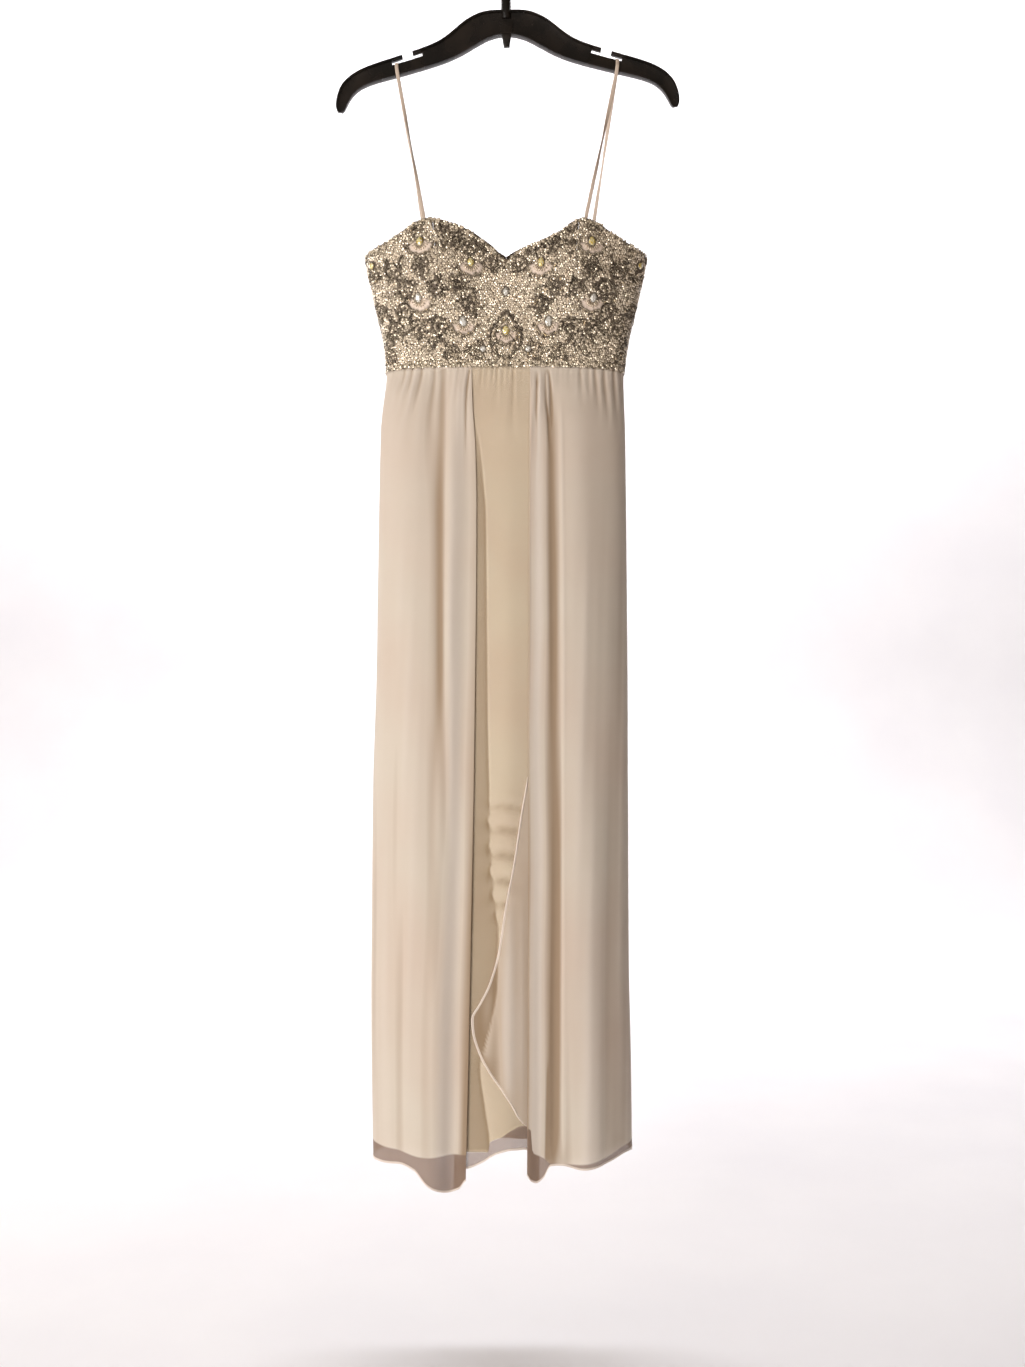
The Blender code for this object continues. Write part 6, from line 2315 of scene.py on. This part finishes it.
@dataclass
class Hanger:
    """Moulded hanger with an I-shaped section, a strap notch in each arm, a boss and a small tooth."""

    stations: Sequence[Sequence[float]] = (
        (0, -117.5, 16.5, 6.5), (16, -118.5, 17.5, 6.5), (30, -121.5, 18.5, 6.5), (44, -128.0, 18.5, 6.5),
        (58, -137.0, 17.5, 6.3), (72, -146.5, 16.0, 6.2), (90, -156.0, 14.5, 6.0), (112, -164.0, 13.5, 6.0),
        (132, -170.0, 13.0, 6.0), (154, -176.5, 12.5, 6.0), (176, -182.5, 12.0, 5.8), (196, -189.0, 11.5, 5.6),
        (212, -197.0, 11.0, 5.4), (223, -207.0, 10.5, 5.0), (229, -217.5, 9.3, 4.6), (232.5, -227.5, 7.8, 4.2),
        (234, -235.0, 5.8, 3.6), (234.5, -238.5, 3.2, 3.0),
    )
    flange: float = 2.6
    web_half: float = 1.8
    notch_tilt: float = -16.3
    lean: float = -1.0
    lean_centre_z: float = -93.0
    mouth: tuple[float, float] = (139.5, 15.0)
    slot: tuple[float, float, float, float] = (139.5, 44.0, 4.2, 4.6)
    boss: tuple[float, float, float] = (7.0, -86.0, -112.0)
    tooth: tuple[float, float, float] = (9.6, 9.0, 17.0)
    bore: tuple[float, float] = (2.2, 14.0)
    step: float = 4.0
    edge_round: float = 0.55

    def leaned(self, point: Vector) -> Vector:
        """Where a point of the level hanger is once it leans."""
        middle = Vector((0, 0, self.lean_centre_z))
        return Matrix.Rotation(math.radians(self.lean), 3, "Y") @ (point - middle) + middle

    def arm_top(self, x: float) -> float:
        """Height of the arm's upper edge at a distance from the middle."""
        rows = [(s[0], s[1] + s[2] * 1.04) for s in self.stations[:12]]
        return float(SmoothTable(rows)(np.array(abs(x))))

    def slot_floor(self, x: float) -> float:
        """Height of the notch's floor, where a ribbon crosses the arm."""
        top = self.arm_top(self.mouth[0]) - self.slot[2] - self.slot[3]
        return top + math.tan(math.radians(self.notch_tilt)) * (abs(x) - self.mouth[0])

    def sections(self) -> list[list[Vector]]:
        """Lays the I-shaped section from one tip to the other.

        Returns:
            Its rings.
        """
        runs = [math.dist(a[:2], b[:2]) for a, b in zip(self.stations, self.stations[1:])]
        walked = np.concatenate([[0.0], np.cumsum(runs)])
        tip = walked[-1]
        wanted = np.concatenate([np.arange(0, tip - 12, self.step), np.linspace(tip - 11, tip, 8)])
        x, z, tall, deep = (
            SmoothTable([(w, s[k]) for w, s in zip(walked, self.stations)])(wanted) for k in range(4)
        )
        run_x, run_z = np.gradient(x, wanted), np.gradient(z, wanted)
        length = np.hypot(run_x, run_z)
        run_x, run_z = run_x / length, run_z / length
        run_x[0], run_z[0] = 1.0, 0.0
        rings = []
        for side, order in ((-1, range(len(wanted) - 1, 0, -1)), (1, range(len(wanted)))):
            for i in order:
                flange, web = min(self.flange, tall[i] * 0.45), min(self.web_half, deep[i] * 0.6)
                half = ((tall[i], deep[i]), (tall[i] - flange, deep[i]), (tall[i] - flange, web))
                right = list(half) + [(-h, d) for h, d in reversed(half)]
                outline = right + [(h, -d) for h, d in reversed(right)]
                rings.append(
                    [Vector((side * (x[i] - run_z[i] * h), d, z[i] + run_x[i] * h)) for h, d in outline]
                )
        return rings

    def box(self, size: Sequence[float], place: Sequence[float], tilt: float) -> Piece:
        """Makes a block for a Boolean step.

        Args:
            size: Its three sizes.
            place: Its middle.
            tilt: Its tilt about Y, in degrees.

        Returns:
            The block.
        """
        maker = bmesh.new()
        bmesh.ops.create_cube(maker, size=1.0)
        bmesh.ops.scale(maker, vec=Vector(size) * MM, verts=maker.verts)
        turn = Matrix.Rotation(-math.radians(tilt), 4, "Y")
        bmesh.ops.transform(maker, matrix=Matrix.Translation(Vector(place) * MM) @ turn, verts=maker.verts)
        return self.tool(maker)

    def rod(self, radius: float, low: float, high: float, sides: int) -> Piece:
        """Makes an upright rod on the Z axis for a Boolean step.

        Args:
            radius: Its radius.
            low: Its foot.
            high: Its top.
            sides: How many sides it has.

        Returns:
            The rod.
        """
        maker = bmesh.new()
        matrix = Matrix.Translation(Vector((0, 0, (low + high) / 2)) * MM)
        bmesh.ops.create_cone(
            maker,
            cap_ends=True,
            segments=sides,
            radius1=radius * MM,
            radius2=radius * MM,
            depth=(high - low) * MM,
            matrix=matrix,
        )
        return self.tool(maker)

    def tool(self, maker: bmesh.types.BMesh) -> Piece:
        """Object for a Boolean step."""
        return in_scene("tool", mesh_of(maker, "tool"))

    def build(self, plastic: Material) -> Piece:
        """Builds the hanger.

        Args:
            plastic: Its finish.

        Returns:
            The hanger.
        """
        blank = in_scene("blank", lofted("hanger", self.sections(), smooth=False))
        boss_radius, boss_top, boss_low = self.boss
        foot = self.stations[0][1] - self.stations[0][2]
        tooth = self.box((2 * self.tooth[0], self.tooth[1], 2 * self.tooth[2]), (0, 0, foot), 0)
        for corner in tooth.data.vertices:
            if corner.co.z < foot * MM:
                corner.co.x *= 0.42
                corner.co.y *= 0.6
        steps = [
            (self.rod(boss_radius, boss_low, boss_top, 32), "UNION"),
            (tooth, "UNION"),
            (self.rod(self.bore[0], boss_top - self.bore[1], boss_top + 5, 20), "DIFFERENCE"),
        ]
        top = self.arm_top(self.mouth[0])
        slot_x, slot_long, slot_top, slot_high = self.slot
        for side in (-1, 1):
            tilt, reach = side * self.notch_tilt, slot_top + slot_high
            tall = reach + 10
            mouth = self.box((self.mouth[1], 40, tall), (side * self.mouth[0], 0, top - reach + tall / 2), tilt)
            slot = self.box((slot_long, 40, slot_high), (side * slot_x, 0, top - slot_top - slot_high / 2), tilt)
            steps += [(mouth, "DIFFERENCE"), (slot, "DIFFERENCE")]
        for tool, operation in steps:
            change = blank.modifiers.new(operation, "BOOLEAN")
            change.object, change.operation, change.solver = tool, operation, "EXACT"
        soften = blank.modifiers.new("edges", "BEVEL")
        soften.width, soften.segments, soften.limit_method = self.edge_round * MM, 2, "ANGLE"
        soften.angle_limit, soften.use_clamp_overlap = math.radians(38), True
        soften.harden_normals = False
        mesh = bpy.data.meshes.new_from_object(blank.evaluated_get(bpy.context.evaluated_depsgraph_get()))
        for tool, _ in steps:
            bpy.data.objects.remove(tool)
        bpy.data.objects.remove(blank)
        middle = Vector((0, 0, self.lean_centre_z)) * MM
        turn = Matrix.Rotation(math.radians(self.lean), 4, "Y")
        mesh.transform(Matrix.Translation(middle) @ turn @ Matrix.Translation(-middle))
        mesh.shade_smooth()
        mesh.set_sharp_from_angle(angle=math.radians(34))
        return hand_over("hanger_plastic", mesh, [plastic], ["hanger"])


@dataclass
class Hook:
    """Steel wire hook: a shank, a bend to the right and a round over the top to a rounded end on the left."""

    wire_radius: float = 1.9
    inside_radius: float = 21.0
    end_angle: float = 205.0
    start_angle: float = -52.0
    shank_low: float = -99.5

    def build(self, steel: Material) -> Piece:
        """Builds the hook.

        Args:
            steel: Its finish.

        Returns:
            The hook.
        """
        radius = self.inside_radius + self.wire_radius

        def on_ring(angle: float) -> Vector:
            """Point of the round at an angle in degrees."""
            turn = math.radians(angle)
            return Vector((radius * math.cos(turn), 0, -self.inside_radius + radius * math.sin(turn)))

        shank = [(0, self.shank_low), (0, -78), (0, -68), (0.6, -60), (3.2, -53), (7.6, -46.5)]
        points = [Vector((x, 0, z)) for x, z in shank]
        points.append((points[-1] + on_ring(self.start_angle)) / 2 + Vector((0.4, 0, -0.3)))
        steps = 26
        span = self.end_angle - self.start_angle
        points += [on_ring(self.start_angle + span * i / steps) for i in range(steps + 1)]
        path = smooth_path(points, 1.6)
        radii = np.full(len(path), self.wire_radius)
        tip = np.array([0.0, 0.35, 0.8, 1.3, 1.9])
        run = (path[-1] - path[-2]).normalized()
        rounded = [path[-1] - run * (self.wire_radius - reach) for reach in tip]
        path, radii = path[:-2] + rounded, np.concatenate([radii[:-2], self.cap(tip)])
        mesh = lofted("hook", tube_rings(path, radii, 16))
        return hand_over("hook_steel", mesh, [steel], ["hook"])

    def cap(self, reach: Array) -> Array:
        """Radii that round off the wire's end."""
        inside = np.clip(1 - (reach / self.wire_radius) ** 2, 0.01, 1.0)
        return self.wire_radius * np.sqrt(inside)


@dataclass
class Ribbons:
    """Two satin hanging ribbons, each over a hanger arm and sewn inside the front and the back."""

    form: DressForm
    layers: Layers
    hanger: Hanger
    places: tuple[tuple[str, float, float, float], ...] = (
        ("left", -154.5, -110.0, -111.0),
        ("right", 154.5, 107.5, 118.0),
    )
    width: float = 5.0
    thick: float = 0.7
    cad_thick: float = 1.0
    sewn: float = 13.0
    bodice_wall: float = 2.0

    def strand(self, hanger_x: float, end_x: float, front: bool) -> list[Vector]:
        """Leads a strand from the arm's web down to where it is sewn inside the bodice.

        Args:
            hanger_x: Where it crosses the arm.
            end_x: Where it is sewn.
            front: Whether it hangs in front of the arm.

        Returns:
            Points of its middle line.
        """
        face = -1 if front else 1
        rest = self.hanger.slot_floor(hanger_x) + SEAM_GAP + self.cad_thick / 2
        inward = math.copysign(1, hanger_x)
        clear = SEAM_GAP + self.cad_thick / 2
        share = float(self.form.share_at(end_x, -430.0, back=not front))
        top = float(self.layers.neckline(share))
        inside = self.bodice_wall + clear + 0.4

        def behind(z: float) -> Vector:
            """Point behind the bodice's wall."""
            offset = self.layers.bodice(np.float64(share), np.float64(z)) - inside
            return Vector(self.form.outside(np.float64(share), np.float64(z), offset))

        web = self.hanger.web_half
        lead = [
            Vector((hanger_x, face * 1.9, rest + 0.2)),
            Vector((hanger_x, face * (web + clear + 0.5), rest - 0.7)),
            Vector((hanger_x, face * (web + clear + 0.9), rest - 3.0)),
            Vector((hanger_x - inward * 0.7, face * (6.0 + clear + 0.4), -182.5)),
            Vector((hanger_x - inward * 2.4, face * (6.0 + clear + 0.6), -194.0)),
        ]
        lead = [self.hanger.leaned(point) for point in lead]
        above = behind(top - 2) + Vector((inward * 1.5, -face * 2.2, 9))
        hang = [lead[-1].lerp(above, (i + 1) / 9) for i in range(9)]
        return lead + hang + [behind(top - 2), behind(top - self.sewn)]

    def build(self, satin: Material) -> list[Piece]:
        """Builds both ribbons.

        Args:
            satin: Their finish.

        Returns:
            The ribbons.
        """
        pieces = []
        for side, hanger_x, front_x, back_x in self.places:
            knots = list(reversed(self.strand(hanger_x, front_x, True))) + self.strand(hanger_x, back_x, False)
            line = smooth_path(knots, 2.2)
            rings = []
            half = (len(line) - 1) / 2
            for i, here in enumerate(line):
                run = (line[min(i + 1, len(line) - 1)] - line[max(i - 1, 0)]).normalized()
                along = abs(i - half) / half
                turned = math.sin(math.pi * float(ease(np.array((along - 0.2) / 0.65))))
                twist = math.radians(62) * turned
                slope = self.hanger.notch_tilt * math.copysign(1, here.x) - self.hanger.lean
                level = float(ease(np.array((here.z + 200) / 8)))
                lean = math.radians(slope) * level
                flat = Vector((math.cos(lean), 0, math.sin(lean)))
                across = (flat - run * run.dot(flat)).normalized()
                across = Matrix.Rotation(twist, 3, run) @ across
                thick = run.cross(across).normalized()
                curl = 0.25 * turned
                face = ((-1, -0.6), (-0.5, -1), (0, -1), (0.5, -1), (1, -0.6))
                section = face + tuple((-a, -b) for a, b in face)
                rings.append(
                    [
                        here + across * (self.width / 2 * a) + thick * (self.thick / 2 * b - curl * a * a)
                        for a, b in section
                    ]
                )
            name = f"hanging_ribbon_{side}"
            pieces.append(hand_over(f"{name}_satin", lofted(name, rings), [satin], [name]))
        return pieces


@dataclass
class Zip:
    """Zip at the centre back: tape and coil inside the seam, a slider at the top and its pull tab."""

    form: DressForm
    layers: Layers
    bodice_wall: float = 2.0
    tape_width: float = 5.0
    top: float = -432.0
    bottom: float = -960.0
    tooth_pitch: float = 1.6

    def depth(self, z: Array) -> Array:
        """Finds how far out the tape's outer face stands.

        Args:
            z: Heights.

        Returns:
            Its distance outside the form at each height.
        """
        inside_bodice = self.layers.bodice_rise - self.bodice_wall - 1.6
        root = self.layers.root_back * np.where(z < WAIST_Z, ease(1 - (WAIST_Z - z) / 160), 1.0)
        below = -1.9 + root
        return below + (inside_bodice - below) * ease((z - WAIST_Z - 4) / 24)

    def build(self, nylon: Material, metal: Material) -> None:
        """Builds the tape with its coil, and finishes the slider and the tab.

        Args:
            nylon: Finish of the tape and coil.
            metal: Finish of the slider and tab.
        """
        z = np.arange(self.top, self.bottom - 1, -6.0)[:, None]
        across = np.linspace(-0.5, 0.5, 7)[None, :] * self.tape_width
        share = 1.0 - across / self.form.half_girth(z)
        points = self.form.outside(share, z, self.depth(z) - 0.5)[:, ::-1]
        tape = ClothSheet(points, 0.5).mesh("zip_tape")
        hand_over("zip_tape_nylon", tape, [nylon], ["zip_chain"])
        teeth_z = np.arange(self.top - 2, self.bottom + 2, -self.tooth_pitch)
        sides = np.where(np.arange(len(teeth_z)) % 2, 0.55, -0.55)
        share = 1.0 + sides / self.form.half_girth(teeth_z)
        place = self.form.outside(share, teeth_z, self.depth(teeth_z) - 0.35)
        count = len(teeth_z)
        points = BeadPoints(
            place,
            np.tile((0.0, 1.0, 0.0), (count, 1)),
            np.tile((1.0, 0.0, 0.0), (count, 1)),
            np.ones(count),
            np.full(count, 0.5),
        )
        BeadSewer(BeadShape.BUGLE, 0.8, 2.4, 0.0, 3).sew("zip_coil", points, nylon, Slot.ZIP_NYLON)
        for node in ("zip_slider", "zip_pull"):
            self.dress_node(node, metal)

    def dress_node(self, node: str, metal: Material) -> None:
        """Gives a CAD node its finish, as its shape is right."""
        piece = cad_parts[node]
        for slot in piece.material_slots:
            slot.material = metal


# ---------------------------------------------------------------- studio


@dataclass
class Studio:
    """Pale seamless paper, a soft key light from the left, a lamp on the paper, a soft light from behind on the left
    and a room light that is dim on the right.
    """

    floor_z: float = -1.95
    wall_y: float = 3.7
    sweep: float = 1.0
    half_width: float = 7.0

    def backdrop(self, paper: Material) -> None:
        """Lays the paper on the floor and up behind the dress.

        Args:
            paper: Its finish.
        """
        profile = [(-4.5, self.floor_z)]
        for k in range(13):
            angle = math.radians(90 * k / 12)
            y = self.wall_y - self.sweep + self.sweep * math.sin(angle)
            profile.append((y, self.floor_z + self.sweep * (1 - math.cos(angle))))
        profile.append((self.wall_y, 3.6))
        maker = bmesh.new()
        lines = [
            [maker.verts.new((x, y, z)) for x in np.linspace(-self.half_width, self.half_width, 9)]
            for y, z in profile
        ]
        for near, far in zip(lines, lines[1:]):
            for k in range(len(near) - 1):
                maker.faces.new((near[k], near[k + 1], far[k + 1], far[k]))
        for face in maker.faces:
            face.smooth = True
        mesh = mesh_of(maker, "studio_paper")
        mesh.materials.append(paper)
        piece = in_scene("studio_paper", mesh)

    def lamp(
        self,
        name: str,
        place: Sequence[float],
        aim: Sequence[float],
        size: tuple[float, float],
        power: float,
        tone: str,
    ) -> None:
        """Adds a soft rectangular lamp.

        Args:
            name: Name of the lamp.
            place: Where it stands, metres.
            aim: What it points at, metres.
            size: Width and height, metres.
            power: Power in watts.
            tone: Colour of its light.
        """
        light = bpy.data.lights.new(name, "AREA")
        light.shape, light.size, light.size_y = "RECTANGLE", size[0], size[1]
        light.energy, light.color = power, linear(tone)[:3]
        lamp = in_scene(name, light)
        lamp.location = place
        lamp.rotation_euler = (Vector(aim) - Vector(place)).to_track_quat("-Z", "Y").to_euler()

    def light(self) -> None:
        """Hangs the lamps and sets the room's own light."""
        self.lamp("key", (-1.9, -2.75, -1.2), (0, 0, -1.1), (1.9, 2.3), 97.0, "#fffaf4")
        self.lamp("paper_light", (0.0, 2.0, 2.3), (0.0, 3.7, -0.9), (5.5, 0.6), 175.0, "#fbfbff")
        self.lamp("back_soft", (-2.2, 2.0, 0.1), (0, 0, -1.0), (1.2, 1.6), 26.0, "#fffdfa")
        world = bpy.data.worlds.new("studio room")
        bpy.context.scene.world = world
        world.use_nodes = True
        tree = world.node_tree
        way = add_node(tree, "ShaderNodeTexCoord")
        parts = add_node(tree, "ShaderNodeSeparateXYZ", {0: way}).outputs
        front_left = add_node(tree, "ShaderNodeMath", {0: parts[0], 1: parts[1]}, operation="ADD")
        side = add_node(tree, "ShaderNodeMapRange", {"Value": front_left, "From Min": 0.7, "From Max": -1.3})
        glow = add_node(tree, "ShaderNodeMapRange", {"Value": side, "To Min": 0.1, "To Max": 0.46})
        tone = add_node(tree, "ShaderNodeMix", {0: side, 6: "#e6c3a0", 7: "#f5ebe0"}, data_type="RGBA")
        # The lens sees a pale room; what lights the dress is the uneven one above
        seen = add_node(tree, "ShaderNodeLightPath").outputs["Is Camera Ray"]
        shown = add_node(tree, "ShaderNodeMix", {0: seen, 6: tone, 7: "#f4f2f0"}, data_type="RGBA")
        power = add_node(tree, "ShaderNodeMix", {0: seen, 2: glow, 3: 0.85})
        feed(tree, tree.nodes["Background"], {"Color": shown, "Strength": power})
        bpy.context.scene.view_settings.view_transform = "Standard"

    def camera(self) -> None:
        """Sets the camera straight in front, 2 m away."""
        lens = bpy.data.cameras.new("camera")
        lens.lens, lens.sensor_width = 37.62, 36.0
        lens.clip_end = 50.0
        camera = in_scene("camera", lens)
        camera.location = (0.0091, -2.0, -1.0416)
        camera.rotation_euler = (math.radians(90), 0, 0)
        bpy.context.scene.camera = camera


def write_sizes() -> None:
    """Updates the view layer; no boxes are written."""
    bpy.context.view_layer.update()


def main() -> None:
    """Builds every sub-assembly in order."""
    logging.basicConfig(level=logging.INFO, format="%(message)s")
    form = DressForm()
    layers = Layers(form)
    hems = SkirtHems()
    studio = Studio()
    studio.camera()

    chiffon = CrepeChiffon().make()
    under_chiffon = CrepeChiffon(
        name="fine under chiffon", face="#e3d6bf", warm="#dfceb6", deep="#a8916f", cover=0.3, band_cover=0.5
    ).make()
    cascade_chiffon = CrepeChiffon(
        name="cascade crepe chiffon", face="#e0d1c0", warm="#dbc8b4", deep="#a18768", cover=0.62, band_cover=0.5
    ).make()
    rolled = CrepeChiffon(
        name="rolled chiffon edge", face="#f2e6dc", warm="#eee0d4", deep="#dccabb", cover=1.0, band_cover=1.0
    ).make()
    satin = LiningSatin().make()
    stones = StoneSet(form, layers)
    bodice = Bodice(form, layers, stones)
    bodice.build_panels(BeadedTulle().make(), satin)
    LOG.info("bodice panels done")
    bodice.build_beadwork(
        BeadFinish("plated plastic sequins", 0.5, 0.24).make(),
        BeadFinish("silver-lined glass beads", 0.6, 0.2).make(),
    )
    stones.build(
        FoiledGlass("foiled glass, pale gold", "#ab8634", "#e0c262", "#fbf0b4").make(),
        FoiledGlass("foiled glass, clear", "#857f75", "#ccc7bc", "#fbfaf5").make(),
        PlatedMetal("antique silver settings", "#a59c8c", "#6e6558", 0.3).make(),
    )
    under = UnderSkirts(form, layers, hems)
    under.build_lining(satin)
    under.build_sheer(under_chiffon)
    under.build_cascade(cascade_chiffon, rolled)
    Overskirt(form, layers, hems).build(chiffon)
    LOG.info("skirts done")
    hanger = Hanger()
    hanger.build(MouldedPlastic().make())
    Hook().build(PlatedMetal("nickel plated hook wire").make())
    Ribbons(form, layers, hanger).build(RibbonSatin().make())
    Zip(form, layers).build(ZipNylon().make(), PlatedMetal("nickel plated zinc", roughness=0.25).make())
    studio.backdrop(MattPaper().make())
    studio.light()
    write_sizes()


if __name__ == "__main__":
    main()
